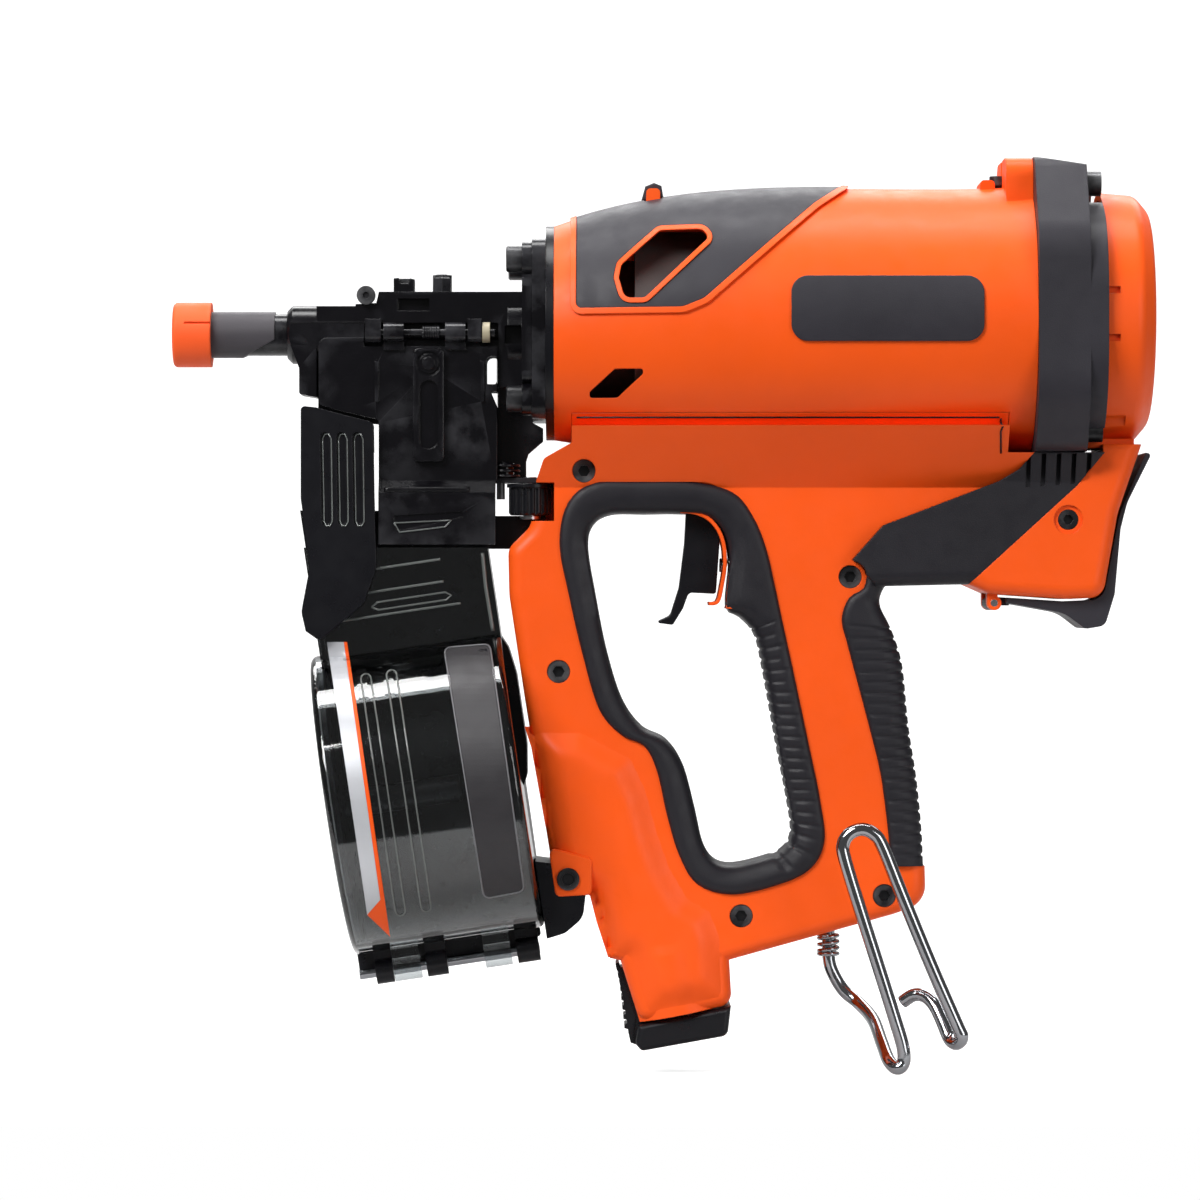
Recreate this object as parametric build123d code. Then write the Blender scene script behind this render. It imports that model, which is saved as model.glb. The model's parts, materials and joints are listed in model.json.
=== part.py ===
"""Cordless coil nailer, modelled in millimetres as an assembly of separate pieces.

The frame: the origin is the centre of the muzzle, on the drive axis.  +X runs back along the drive axis, from the
muzzle to the fan cover.  +Z is up, and -Y is the side that the magazine and the nose door open to.
"""
from build123d import *
import math
import os

os.makedirs("parts", exist_ok=True)

# ---------------------------------------------------------------- driving dimensions
GAP = 0.3                       # running gap between pieces that move past each other
SEAT = 0.1                      # gap between pieces that are seated in each other

# drive line
MUZZLE_BORE_R = 4.4
TIP_LENGTH, TIP_R, TIP_SOCKET_X = 13.9, 11.8, 4.0
PROBE_R, PROBE_BORE_R, PROBE_BACK_X = 7.6, 6.3, 52.0
SHEATH_R, SHEATH_BACK_X = 8.4, 37.1
PROBE_TRAVEL = 12.0
BARREL_R, BARREL_BORE_R, BARREL_FRONT_X = 6.0, 3.9, 18.5
BLADE_R, BLADE_TIP_X, CHANNEL_R = 3.1, 118.5, 3.6
STROKE = 104.0
CYLINDER_R, CYLINDER_WALL, CYLINDER_BACK_X = 27.0, 3.0, 268.0
BUMPER_BACK_X, PISTON_LENGTH = 149.0, 12.0
SLEEVE_R, SLEEVE_WALL, SLEEVE_X, SLEEVE_LENGTH = 38.0, 2.5, 240.0, 47.7
COVER_X = SLEEVE_X + SLEEVE_LENGTH + PROBE_TRAVEL + GAP     # front face of the chamber's rear cover
JACKET_X, JACKET_R, JACKET_WALL = 168.0, 37.5, 1.5         # air jacket round the cylinder

# nose and its flange
NOSE_TUBE_R, NOSE_TUBE_X = 10.6, 41.6
NOSE_NEAR_Y, NOSE_FAR_Y, NOSE_TOP_Z = -9.6, 9.5, 15.3
FEED_FRONT_X, FEED_BACK_X, FEED_HALF = 53.5, 117.6, 3.2
FLANGE_X, FLANGE_T = 127.4, 3.6
PLATE_X, PLATE_T, PLATE_R = 135.9, 3.0, 39.0
FLANGE_BOLT_Y, FLANGE_BOLT_Z = 25.0, 25.2
FLANGE_BOLT_R, BOLT_HEAD_R, BOLT_HEAD_H = 2.9, 4.75, 5.7
EAR_PIN_X, EAR_PIN_R = 119.4, 1.5
DOOR_T, FLAP_Y = 2.4, -13.2     # the flap's inner face is further out than the door's
HINGE_Z, HINGE_PIN_R, HINGE_KNUCKLE_R = 0.3, 1.3, 3.6
HINGE_Y = NOSE_NEAR_Y - HINGE_KNUCKLE_R - GAP

FLANGE_MID_Z = 1.0
FLANGE_BOLTS = [(y, FLANGE_MID_Z + z) for y in (-FLANGE_BOLT_Y, FLANGE_BOLT_Y)
                for z in (-FLANGE_BOLT_Z, FLANGE_BOLT_Z)]
CASTING_KNUCKLES = ((70.4, 76.2), (107.6, 112.6))
DOOR_KNUCKLES = ((77.0, 84.4), (99.4, 106.8))
LATCH_X, LATCH_Z, LATCH_HALF = 93.4, -11.0, 5.7
RUN = 0.08                      # running clearance of a pin in its hole
ARM_Y, ARM_T, ARM_BACK_X = 11.2, 2.5, 106.0     # the probe's arm, on the far side of the nose
PROBE_SPRING_Y, PROBE_SPRING_Z, PROBE_SPRING_R = 7.4, -49.4, 2.6
ARM_LUG_Y = PROBE_SPRING_Y - 3.8
CASTING_FOOT_X, EAR_TOP_Z, EAR_T = 124.0, -52.3, 1.9
STOP_SCREW_R = 2.4
WHEEL_X, WHEEL_Y, WHEEL_R, WHEEL_LENGTH = 130.0, -6.0, 7.7, 11.4    # the depth wheel turns about Z
WHEEL_TOP_Z = EAR_TOP_Z - EAR_T - GAP
SLOT_X, SLOT_TOP_Z, SLOT_FOOT_Z = 114.2, -8.2, -18.4        # the slot window beside the door's edge
DOOR_LEFT_X = 75.2
PAWL_X, PAWL_Z, PAWL_TRAVEL = 88.0, -26.0, 8.0

# barrel housing: stations along X as (x, height of centre, radius)
COVER_T, HEAD_STEP, HEAD_LENGTH, CAP_LENGTH = 11.8, 18.7, 25.0, 20.2
HEAD_X = COVER_X + COVER_T      # front face of the head band
HEAD_STEP_X = HEAD_X + HEAD_STEP
HEAD_BACK_X = HEAD_X + HEAD_LENGTH
CAP_BACK_X = HEAD_BACK_X + CAP_LENGTH
BARREL_BACK_R = SLEEVE_R + 11.0
BARREL_STATIONS = ((PLATE_X + PLATE_T, 0.5, PLATE_R), (165.0, 2.6, JACKET_R + 6.9),
                   (245.0, 4.6, BARREL_BACK_R - 0.4), (HEAD_X, 5.0, BARREL_BACK_R))
BARREL_WALL = 3.6
SEAM_Z, SEAM_FRONT_X, SEAM_BACK_X = -29.3, 145.2, 302.4
PAD_LIFT, RIM, BEAD = 0.8, 1.8, 2.2     # lift of the soft pad, width of the window rims and of the pad's bead
HEAD_BORE_R, CAP_Z, CAP_R = SLEEVE_R + 2.0, 5.8, BARREL_BACK_R - 3.1
HEAD_HALF, HEAD_TOP_Z, HEAD_FOOT_Z = BARREL_BACK_R + 0.2, BARREL_BACK_R + 14.2, 5.7 - BARREL_BACK_R
HEAD_BOLT_TOP_Z, HEAD_BOLT_LOW_Z = HEAD_TOP_Z - 9.6, 13.6 - BARREL_BACK_R
HEAD_BOLTS = ((-21.0, HEAD_BOLT_TOP_Z), (21.0, HEAD_BOLT_TOP_Z), (-27.0, HEAD_BOLT_LOW_Z),
              (27.0, HEAD_BOLT_LOW_Z))
MOTOR_R, MOTOR_LENGTH, MOTOR_SHAFT_R = 13.0, 27.0, 1.6
CROWN_SCREW_X, CROWN_SCREW_Z = HEAD_X - 11.0, SLEEVE_R + 16.4   # the screw at the crown of the shroud

# handle frame
GRIP_HALF = 17.5                # half the width of the handle frame
EDGE_R = 5.0                    # rounding of the frame's long edges
PAD_T, PAD_EDGE = 2.2, 3.0      # rubber overmould, on the faces and round the edges
TRIGGER_HALF, TRIGGER_WELL_X = 6.2, 213.0
FUEL_CELL_R, FUEL_CELL_LENGTH, FUEL_CELL_Z, FUEL_CELL_FRONT_X = 15.5, 72.0, -67.5, 265.0
FUEL_CELL_BACK_X = FUEL_CELL_FRONT_X + FUEL_CELL_LENGTH
BAY_HALF = FUEL_CELL_R + 9.0    # half the width of the fuel cell bay
FUEL_DOOR_HALF = FUEL_CELL_R + 2.5
BATTERY_TILT, BATTERY_R, BATTERY_LENGTH = 10.5, 13.0, 84.0
BATTERY_FOOT = (185.5, -256.5)  # centre of the battery's lower end, as (x, z)
SCREW_HEAD_R, SCREW_HEAD_H, SCREW_R, SCREW_END_Y = 4.1, 3.6, 2.0, 9.0
HOUSING_SCREWS = ((149.7, -50.0, -19.6), (140.5, -122.6, -17.5), (206.6, -211.0, -17.5), (258.4, -203.7, -17.5),
                  (246.0, -88.3, -17.5))
BRACKET_SCREW = (144.0, -197.5, -21.5)
BAY_SCREW = (FUEL_CELL_BACK_X - 12.6, -67.7, -BAY_HALF)
BOSS_X, BOSS_Z, BOSS_R = HOUSING_SCREWS[4][0], HOUSING_SCREWS[4][1], 5.7
TRIGGER_PIVOT, TRIGGER_PIN_R = (193.5, -60.5), 1.9
DOOR_HINGE_X, DOOR_HINGE_Z = 298.2, -97.8

# magazine
MAG_TILT = 8.5                  # the magazine's axis rises this many degrees towards the back
MAG_X, MAG_Z = 92.7, -166.8     # centre of the drum
DRUM_R, DRUM_HALF, MAG_WALL = 55.0, 35.0, 2.0
NECK_NEAR_Y, NECK_FAR_Y = -13.0, 9.0
CANISTER_TOP_Z, COVER_TOP_Z, SPLIT = -64.0, -77.7, 0.15
MAG_HINGE_V = -DRUM_R - 7.3
CANISTER_KNUCKLES = ((-28.4, -22.0), (-9.7, -2.1), (23.6, 31.8))
COVER_KNUCKLES = ((-21.7, -11.7), (11.7, 21.5))
MAG_PIN_R, MAG_KNUCKLE_R = 1.8, 4.4
GRIP_NEAR_Y, GRIP_FAR_Y = -17.5, -9.0
COVER_RIBS = ((-18.1, -14.5), (-8.6, -5.0))     # across the cover
RIB_FOOT_V, RIB_TOP_V, NECK_FRONT_U = -36.0, 50.0, -31.0

# hook
HOOK_WIRE_R, HOOK_REACH = 2.4, 50.0
HOOK_X, HOOK_Z = 238.8, -217.0  # where the hook's shank leaves the handle


# ---------------------------------------------------------------- shape helpers
def rounded_path(points, radii, closed):
    """Edges that join the points; each corner with a radius is rounded by a tangent arc."""
    count = len(points)
    starts, ends, edges = list(points), list(points), []
    for i in range(count):
        if radii[i] == 0:
            continue
        into = (points[i] - points[i - 1]).normalized()
        out = (points[(i + 1) % count] - points[i]).normalized()
        turn = math.radians(into.get_angle(out))
        reach = radii[i] * math.tan(turn / 2)
        inward = (out - into).normalized() * radii[i] * (1 / math.cos(turn / 2) - 1)
        starts[i] = points[i] - into * reach
        ends[i] = points[i] + out * reach
        edges.append(Edge.make_three_point_arc(starts[i], points[i] + inward, ends[i]))
    for i in range(count if closed else count - 1):
        following = (i + 1) % count
        if (starts[following] - ends[i]).length > 1e-6:
            edges.append(Edge.make_line(ends[i], starts[following]))
    return Wire(edges)


def outline(*corners):
    """A closed face from corners (a, b) or (a, b, radius)."""
    points = [Vector(corner[0], corner[1]) for corner in corners]
    radii = [corner[2] if len(corner) > 2 else 0 for corner in corners]
    return Face(rounded_path(points, radii, True))


def bent_wire(radius, *corners):
    """Round wire bent through corners (x, y, z, bend radius)."""
    points = [Vector(*corner[:3]) for corner in corners]
    path = rounded_path(points, [corner[3] for corner in corners], False)
    start = Plane(origin=points[0], z_dir=points[1] - points[0])
    return sweep(start * Circle(radius), path=path)


def slab(face, low_y, high_y):
    """Prism of a side outline (x, z) between two values of y."""
    return extrude(Plane.XZ.offset(-high_y) * face, amount=high_y - low_y, dir=(0, -1, 0))


def both_sides(face, half):
    return slab(face, -half, half)


def along_x(face, low_x, high_x):
    """Prism of a section (y, z) between two values of x."""
    return extrude(Plane.YZ.offset(low_x) * face, amount=high_x - low_x, dir=(1, 0, 0))


def rod_x(low_x, high_x, radius, y=0.0, z=0.0):
    return along_x(Pos(y, z) * Circle(radius), low_x, high_x)


def rod_y(low_y, high_y, radius, x, z):
    return slab(Pos(x, z) * Circle(radius), low_y, high_y)


def block(low_x, high_x, low_y, high_y, low_z, high_z):
    size = (high_x - low_x, high_y - low_y, high_z - low_z)
    return Pos(low_x, low_y, low_z) * Box(*size, align=(Align.MIN, Align.MIN, Align.MIN))


def barrel_form(grow=0.0):
    """The barrel housing's outer form, grown or shrunk by a distance, with its ends on the same planes."""
    return loft([Plane.YZ.offset(x) * Pos(0, z) * Circle(radius + grow) for x, z, radius in BARREL_STATIONS])


def mirrored(shape):
    """The shape and its mirror image across the middle plane."""
    return shape + mirror(shape, about=Plane.XZ)


def ring_stack(low, high, outer_r, inner_r, coils):
    """A coil spring's envelope along Z: a sleeve with one rounded ridge per coil."""
    pitch = (high - low) / coils
    wire = (outer_r - inner_r) / 2
    corners = [(inner_r, low)]
    for i in range(coils):
        corners.append((outer_r - wire, low + i * pitch))
        corners.append((outer_r, low + (i + 0.5) * pitch))
    corners.append((outer_r - wire, high))
    corners.append((inner_r, high))
    return revolve(Plane.XZ * outline(*corners), Axis.Z)


FROM_BELOW = (Align.CENTER, Align.CENTER, Align.MIN)
FROM_ABOVE = (Align.CENTER, Align.CENTER, Align.MAX)


def keep(name, shape):
    """Write one node of the assembly."""
    export_step(shape, f"parts/{name}.step")


# ---------------------------------------------------------------- muzzle and probe
def build_probe():
    tip = rod_x(0, TIP_LENGTH, TIP_R)
    tip = fillet(tip.edges().filter_by(GeomType.CIRCLE).sort_by(Axis.X)[0], 1.6)
    tip -= rod_x(-1, TIP_SOCKET_X, MUZZLE_BORE_R) + rod_x(TIP_SOCKET_X, TIP_LENGTH + 1, SHEATH_R)
    tip -= block(4.5, TIP_LENGTH + 1, -TIP_R - 1, -TIP_R + 1.4, 3.5, 4.2)
    keep("no_mar_tip", tip)

    # the sheath's lower edge is cut back along a slope
    sheath = rod_x(TIP_SOCKET_X, SHEATH_BACK_X, SHEATH_R) - rod_x(0, 60, PROBE_R)
    sheath -= both_sides(outline((24, -9), (38, -1.5), (38, -9)), 10)
    keep("probe_sheath", sheath)

    probe = rod_x(TIP_SOCKET_X, PROBE_BACK_X, PROBE_R) - rod_x(0, 60, PROBE_BORE_R)
    keep("probe_tube", probe)

    # a flat arm on the far side ties the probe to the depth stop
    web = block(46.5, PROBE_BACK_X, 0, ARM_Y + ARM_T, -3, 3) - rod_x(40, 60, PROBE_R)
    arm = slab(outline((46.5, 5), (99, 5), (ARM_BACK_X, -2, 5), (ARM_BACK_X, -63), (97, -63), (97, -5), (46.5, -5)),
               ARM_Y, ARM_Y + ARM_T)
    lug = block(ARM_BACK_X - 3, ARM_BACK_X, ARM_LUG_Y, ARM_Y + ARM_T, -63, -46.9)
    keep("probe_arm", arm + web + lug)

    spring = ring_stack(ARM_BACK_X, CASTING_FOOT_X, PROBE_SPRING_R, 1.4, 7)
    keep("probe_spring", Pos(0, PROBE_SPRING_Y, PROBE_SPRING_Z) * Rot(0, 90, 0) * spring)


# ---------------------------------------------------------------- nose
def hinge_knuckles(spans, radius, low_z, high_z, far_y):
    """Knuckles on the door's hinge line, each with a web to the piece it belongs to."""
    group = []
    for low_x, high_x in spans:
        knuckle = rod_x(low_x, high_x, radius, HINGE_Y, HINGE_Z)
        group.append(knuckle + block(low_x, high_x, HINGE_Y, far_y, low_z, high_z))
    return group


def slot_window():
    """Side outline of the slot and the small corner window beside the door's edge."""
    slot = outline((SLOT_X, SLOT_TOP_Z, 2.2), (118.0, SLOT_TOP_Z, 1), (118.0, SLOT_FOOT_Z, 1), (SLOT_X, SLOT_FOOT_Z, 1))
    return slot + outline((115.8, SLOT_FOOT_Z - 2.6), (118.1, SLOT_FOOT_Z - 2.6), (118.1, SLOT_FOOT_Z - 8))


def build_nose():
    nose = rod_x(NOSE_TUBE_X, 74, NOSE_TUBE_R)
    nose = chamfer(nose.edges().filter_by(GeomType.CIRCLE).sort_by(Axis.X)[0], 1.9)
    nose -= rod_x(NOSE_TUBE_X - 1, 66.5, PROBE_R + GAP)
    nose += rod_x(BARREL_FRONT_X, 70, BARREL_R)

    # block above the drive channel, and the far wall and end posts of the nail feed below it
    top = outline((66.7, 4), (66.7, 10.8), (74.2, 11.2), (75.2, 15.3), (127.5, 15.3), (127.5, 4))
    nose += slab(top, NOSE_NEAR_Y, NOSE_FAR_Y)
    far_wall = outline((44, -3), (46.6, -12.5, 2), (46.6, -21.9), (52.5, -23), (52.5, -30.5),
                       (DOOR_LEFT_X + 0.2, -32.5), (DOOR_LEFT_X + 0.2, -62), (97, -62), (97, -46),
                       (125.5, -46.7), (134.7, -38.7), (134.7, -34), (FLANGE_X, -30), (FLANGE_X, 4), (44, 4))
    nose += slab(far_wall, FEED_HALF, NOSE_FAR_Y) - rod_x(40, 66.5, PROBE_R + GAP)
    front_post = outline((43, -4), (46.2, -12.5, 2), (46.2, -21.9, 1), (52.6, -23), (52.6, -4))
    nose += slab(front_post, NOSE_NEAR_Y, NOSE_FAR_Y) - rod_x(40, 66.5, PROBE_R + GAP)
    nose += block(52.5, 74, NOSE_NEAR_Y, NOSE_FAR_Y, 4, 10) - rod_x(40, 66.5, PROBE_R + GAP)
    nose += block(118.6, 127.5, NOSE_NEAR_Y, NOSE_FAR_Y, -19.5, 5)
    nose += rod_x(121.9, FLANGE_X + 1, 13.4)

    # flange against the tool body, with an ear for each bolt
    flange = Pos(0, FLANGE_MID_Z) * RectangleRounded(2 * FLANGE_BOLT_Y + 12, 40, 5)
    for y, z in FLANGE_BOLTS:
        flange += Pos(y, z) * Circle(BOLT_HEAD_R + 1.4)
    nose += along_x(flange, FLANGE_X, FLANGE_X + FLANGE_T)

    # foot for the probe spring, with an ear that holds the depth stop's screw
    foot = outline((CASTING_FOOT_X, -44), (CASTING_FOOT_X, EAR_TOP_Z - EAR_T), (128.5, EAR_TOP_Z - EAR_T),
                   (128.5, -46), (131, -38), (131, -28), (127, -28))
    nose += slab(foot, FEED_HALF, NOSE_FAR_Y + 1)
    nose += block(117.2, WHEEL_X + 3.6, NOSE_NEAR_Y + 0.4, NOSE_FAR_Y + 1, EAR_TOP_Z - EAR_T, EAR_TOP_Z)
    nose -= Pos(WHEEL_X, WHEEL_Y, -60) * Cylinder(STOP_SCREW_R, 30)
    nose -= Pos(EAR_PIN_X, WHEEL_Y, -60) * Cylinder(EAR_PIN_R, 30)

    # slot in which the probe's web slides, mouth that the sheath enters, and notch for the arm's lug
    nose -= block(45.5, 64.8, 5, 12, -3.4, 3.4)
    nose -= rod_x(NOSE_TUBE_X - 1, SHEATH_BACK_X + PROBE_TRAVEL + GAP, SHEATH_R + GAP)
    nose -= block(ARM_BACK_X, ARM_BACK_X + PROBE_TRAVEL + GAP, ARM_LUG_Y - GAP, NOSE_FAR_Y + 2,
                  EAR_TOP_Z - EAR_T - 1, EAR_TOP_Z + 1)

    # nail feed and drive channel
    cheek_x = CASTING_KNUCKLES[0][0] - 0.5
    nose -= block(FEED_FRONT_X, FEED_BACK_X, NOSE_NEAR_Y - 4, FEED_HALF, -70, -4.3)
    nose -= block(FEED_FRONT_X, FEED_BACK_X, -FEED_HALF, FEED_HALF, -10, FEED_HALF + 0.4)
    nose -= block(cheek_x, FEED_BACK_X, NOSE_NEAR_Y - 4, FEED_HALF, -10, FEED_HALF + 0.4)
    nose -= block(121, 127, -20, NOSE_NEAR_Y + 5, -3.7, 2.9)
    nose -= slab(slot_window(), 0, 20)
    nose -= block(NOSE_TUBE_X - 1, FEED_BACK_X, -20, NOSE_NEAR_Y, -70, 4)
    nose -= rod_x(0, 60, BARREL_BORE_R) + rod_x(50, 140, CHANNEL_R)
    nose -= block(82.0, 93.5, NOSE_NEAR_Y - 1, NOSE_NEAR_Y + 4, 8.4, 12.8)
    for y, z in FLANGE_BOLTS:
        nose -= rod_x(120, 140, FLANGE_BOLT_R, y, z)

    # lugs of the door hinge, tied to the block above the feed opening
    for knuckle in hinge_knuckles(CASTING_KNUCKLES, HINGE_KNUCKLE_R, 4.0, HINGE_Z + HINGE_KNUCKLE_R + 1.2,
                                  NOSE_NEAR_Y + 1):
        nose += knuckle
    for low_x, high_x in CASTING_KNUCKLES:
        nose += block(low_x, high_x, HINGE_Y - HINGE_KNUCKLE_R, HINGE_Y + HINGE_KNUCKLE_R, HINGE_Z, 5.1)
    nose -= rod_x(60, 125, HINGE_PIN_R, HINGE_Y, HINGE_Z)
    nose -= block(PAWL_X - 6 - GAP, PAWL_X + 6 + GAP, 0, NOSE_FAR_Y - 1.5, PAWL_Z - PAWL_TRAVEL - 6 - GAP,
                  PAWL_Z + 6 + GAP)
    for x in (84.0, 97.9):
        nose -= Pos(x, 2, 4.5) * Cylinder(1.9, 20, align=FROM_BELOW)
    nose -= rod_y(-20, 20, 2.0, 70.6, 13.9)
    keep("nose_casting", nose)

    bolts = []
    for at in FLANGE_BOLTS:
        bolt = rod_x(FLANGE_X - BOLT_HEAD_H, FLANGE_X, BOLT_HEAD_R, *at)
        bolt = chamfer(bolt.edges().filter_by(GeomType.CIRCLE).sort_by(Axis.X)[0], 0.5)
        bolt += rod_x(FLANGE_X - 1, PLATE_X + PLATE_T, FLANGE_BOLT_R, *at)
        bolt -= along_x(Pos(*at) * RegularPolygon(2.4, 6), FLANGE_X - BOLT_HEAD_H - 1, FLANGE_X - 2)
        bolts.append(bolt)
    ear_pin = Pos(EAR_PIN_X, WHEEL_Y, EAR_TOP_Z + 0.6) * Cylinder(EAR_PIN_R, 8.4, align=FROM_ABOVE)
    bolts.append(ear_pin)

    # cross pin through the front of the block
    pin = rod_y(NOSE_NEAR_Y - 1, NOSE_FAR_Y - 0.5, 2.0, 70.6, 13.9)
    pin += rod_y(NOSE_NEAR_Y - 2.9, NOSE_NEAR_Y, 3.4, 70.6, 13.9)
    bolts.append(pin - rod_y(NOSE_NEAR_Y - 4, NOSE_NEAR_Y - 2.1, 1.2, 70.6, 13.9))

    # two cap screws hold the top of the block; one stands taller than the other
    for x, height, radius in ((84.0, 5.2, 3.7), (97.9, 6.6, 3.5)):
        screw = Pos(x, 2, 4.5) * Cylinder(1.9, 11, align=FROM_BELOW)
        head = Cylinder(radius, height, align=FROM_BELOW)
        head -= Pos(0, 0, height - 2) * extrude(RegularPolygon(2.0, 6), amount=3)
        bolts.append(screw + Pos(x, 2, NOSE_TOP_Z) * head)
    keep("nose_bolts", Compound(bolts))

    disc = Pos(0, FLANGE_MID_Z) * RectangleRounded(2 * FLANGE_BOLT_Y + 14.6, 2 * FLANGE_BOLT_Z + 14.6, 7.3)
    plate = along_x(disc, FLANGE_X + FLANGE_T, PLATE_X) - rod_x(120, 140, CHANNEL_R + 1)
    rim = rod_x(PLATE_X, PLATE_X + PLATE_T, PLATE_R, 0, 0.5) - rod_x(120, 140, CHANNEL_R + 1)
    for y, z in FLANGE_BOLTS:
        plate -= rod_x(120, 140, FLANGE_BOLT_R, y, z)
        rim -= rod_x(120, 140, FLANGE_BOLT_R, y, z)
    keep("adapter_plate", plate)
    keep("front_plate", rim)


def build_door():
    near = NOSE_NEAR_Y - SEAT
    face = outline((53.4, -1.5, 3), (69.8, -1.5), (69.8, -4.6), (118.2, -4.6), (118.2, -53.5),
                   (DOOR_LEFT_X, -53.5), (DOOR_LEFT_X, -31.2, 1.5), (62.4, -28.3), (53.4, -25.8, 2))
    door = slab(face, near - DOOR_T, near)
    # bend out to the flap in front of the magazine's throat
    for_flap = outline((near, -53.4), (near, -54.2), (FLAP_Y, -58.5), (FLAP_Y, -76.6), (FLAP_Y - DOOR_T, -76.6),
                       (FLAP_Y - DOOR_T, -57.8), (near - DOOR_T, -53.4))
    door += along_x(for_flap, DOOR_LEFT_X, 117.6)
    door -= slab(slot_window(), -20, 0)
    door -= slab(outline((80.7, -66.2, 0.6), (105.8, -64.6, 0.6), (105.8, -66.6), (82.0, -71.8, 0.8)),
                 FLAP_Y - DOOR_T - 1, FLAP_Y - DOOR_T + 0.7)
    knuckles = hinge_knuckles(DOOR_KNUCKLES, HINGE_KNUCKLE_R, -6.0, -2.0, near)
    for knuckle in knuckles:
        door += knuckle
    for low_x, high_x in CASTING_KNUCKLES:
        door -= block(low_x - 0.5, high_x + 0.5, -20, 0, -4.4, 5)
    door -= rod_x(60, 125, HINGE_PIN_R + RUN, HINGE_Y, HINGE_Z)
    door -= rod_y(-20, 0, 2.4, LATCH_X, LATCH_Z)
    # guide rails that hold the nail strip against the far wall
    for x, foot_z in ((60.0, -26.5), (104.0, -50.0)):
        door += block(x, x + 3.5, near - 1, -3.6, foot_z, -7)
    # stiffening ribs left and right of the latch
    for x in (73.8, 112.2):
        door += slab(outline((x, -10, 0.5), (x + 1.4, -10, 0.5), (x + 1.4, -25, 0.5), (x, -25, 0.5)),
                     near - DOOR_T - 0.6, near - 1)
    keep("nose_door", door)

    pin = rod_x(70.4, 117.4, HINGE_PIN_R, HINGE_Y, HINGE_Z)
    keep("door_hinge_pin", pin)
    collar = rod_x(112.9, 115.6, 3.7, HINGE_Y, HINGE_Z) - rod_x(110, 120, HINGE_PIN_R, HINGE_Y, HINGE_Z)
    keep("hinge_washer", collar)
    spring = ring_stack(91.0, 97.4, 2.85, HINGE_PIN_R + 0.1, 8)
    keep("door_spring", Pos(0, HINGE_Y, HINGE_Z) * Rot(0, 90, 0) * spring)

    latch_near = near - DOOR_T - SEAT
    low_x, high_x, top_z, foot_z = LATCH_X - LATCH_HALF, LATCH_X + LATCH_HALF, LATCH_Z + 5.6, LATCH_Z - 35.6
    bar = outline((low_x, top_z, 2), (high_x, top_z, 2), (high_x, foot_z, 2), (low_x, foot_z, 2))
    latch = slab(bar, latch_near - 3.2, latch_near)
    latch = fillet(latch.faces().sort_by(Axis.Y)[0].edges(), 0.6)
    low_x, high_x, top_z, foot_z = low_x + 2.4, high_x - 2.4, LATCH_Z - 6, LATCH_Z - 31
    recess = outline((low_x, top_z, 3.3), (high_x, top_z, 3.3), (high_x, foot_z, 3.3), (low_x, foot_z, 3.3))
    latch -= slab(recess, latch_near - 4, latch_near - 1.8)
    latch -= slab(Pos(LATCH_X, LATCH_Z) * (Circle(4.4) - Circle(3.5)), latch_near - 4, latch_near - 2.6)
    latch += rod_y(latch_near - 3.8, near, 2.4 - RUN, LATCH_X, LATCH_Z)
    keep("door_latch", latch)

    pawl = block(PAWL_X - 6, PAWL_X + 6, FEED_HALF + 0.3, NOSE_FAR_Y - 1.8, PAWL_Z - 6, PAWL_Z + 6)
    teeth = outline((FEED_HALF + 0.3, PAWL_Z + 5), (FEED_HALF - 1.6, PAWL_Z + 5), (FEED_HALF + 0.3, PAWL_Z + 1))
    pawl += along_x(teeth, PAWL_X - 4, PAWL_X + 4)
    keep("feed_pawl", pawl)


# ---------------------------------------------------------------- depth stop
def build_depth_stop():
    # knurled thumb wheel with a flange at its top, on a fixed vertical screw
    def disc(radius, top_z, foot_z):
        return Pos(WHEEL_X, WHEEL_Y, top_z) * Cylinder(radius, top_z - foot_z, align=FROM_ABOVE)

    foot_z = WHEEL_TOP_Z - WHEEL_LENGTH
    wheel = disc(WHEEL_R + 0.7, WHEEL_TOP_Z, WHEEL_TOP_Z - 1.3) + disc(WHEEL_R, WHEEL_TOP_Z, foot_z)
    wheel = chamfer(wheel.edges().filter_by(GeomType.CIRCLE).sort_by(Axis.Z)[0], 0.8)
    for i in range(20):
        angle = i * 2 * math.pi / 20
        flute = Pos(WHEEL_R * math.cos(angle), WHEEL_R * math.sin(angle)) * disc(0.75, WHEEL_TOP_Z - 1.8, foot_z - 1)
        wheel -= flute
    wheel -= disc(STOP_SCREW_R + RUN, WHEEL_TOP_Z + 1, foot_z - 1)
    keep("depth_wheel", wheel)
    screw = disc(STOP_SCREW_R, EAR_TOP_Z + 0.3, foot_z - 1) + disc(STOP_SCREW_R + 1.4, foot_z - GAP, foot_z - 1.5)
    keep("depth_screw", screw)


# ---------------------------------------------------------------- barrel housing
PAD_OUTLINE = ((146.9, 70), (146.9, 7.7, 2), (185.1, 7.9, 6), (192.7, 11.0, 8), (232.9, 46.5, 6), (243.5, 54),
               (243.5, 70))
WINDOW = ((162.2, 18.6, 2), (163.2, 23.4, 3), (177.0, 36.0, 3), (192.1, 36.4, 3), (194.6, 33.2, 2),
          (171.5, 11.2, 3), (164.3, 11.2, 3))
LOWER_WINDOW = ((160.9, -13.9, 1), (170.9, -13.9, 1), (170.9, -15.8, 1), (161.7, -24.2, 2), (151.8, -24.2, 1),
                (151.8, -22.0, 1))
PLATE_OUTLINE = ((223.7, 19.0, 6), (292.4, 19.0, 6), (292.4, -4.4, 6), (223.7, -4.4, 6))


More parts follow.
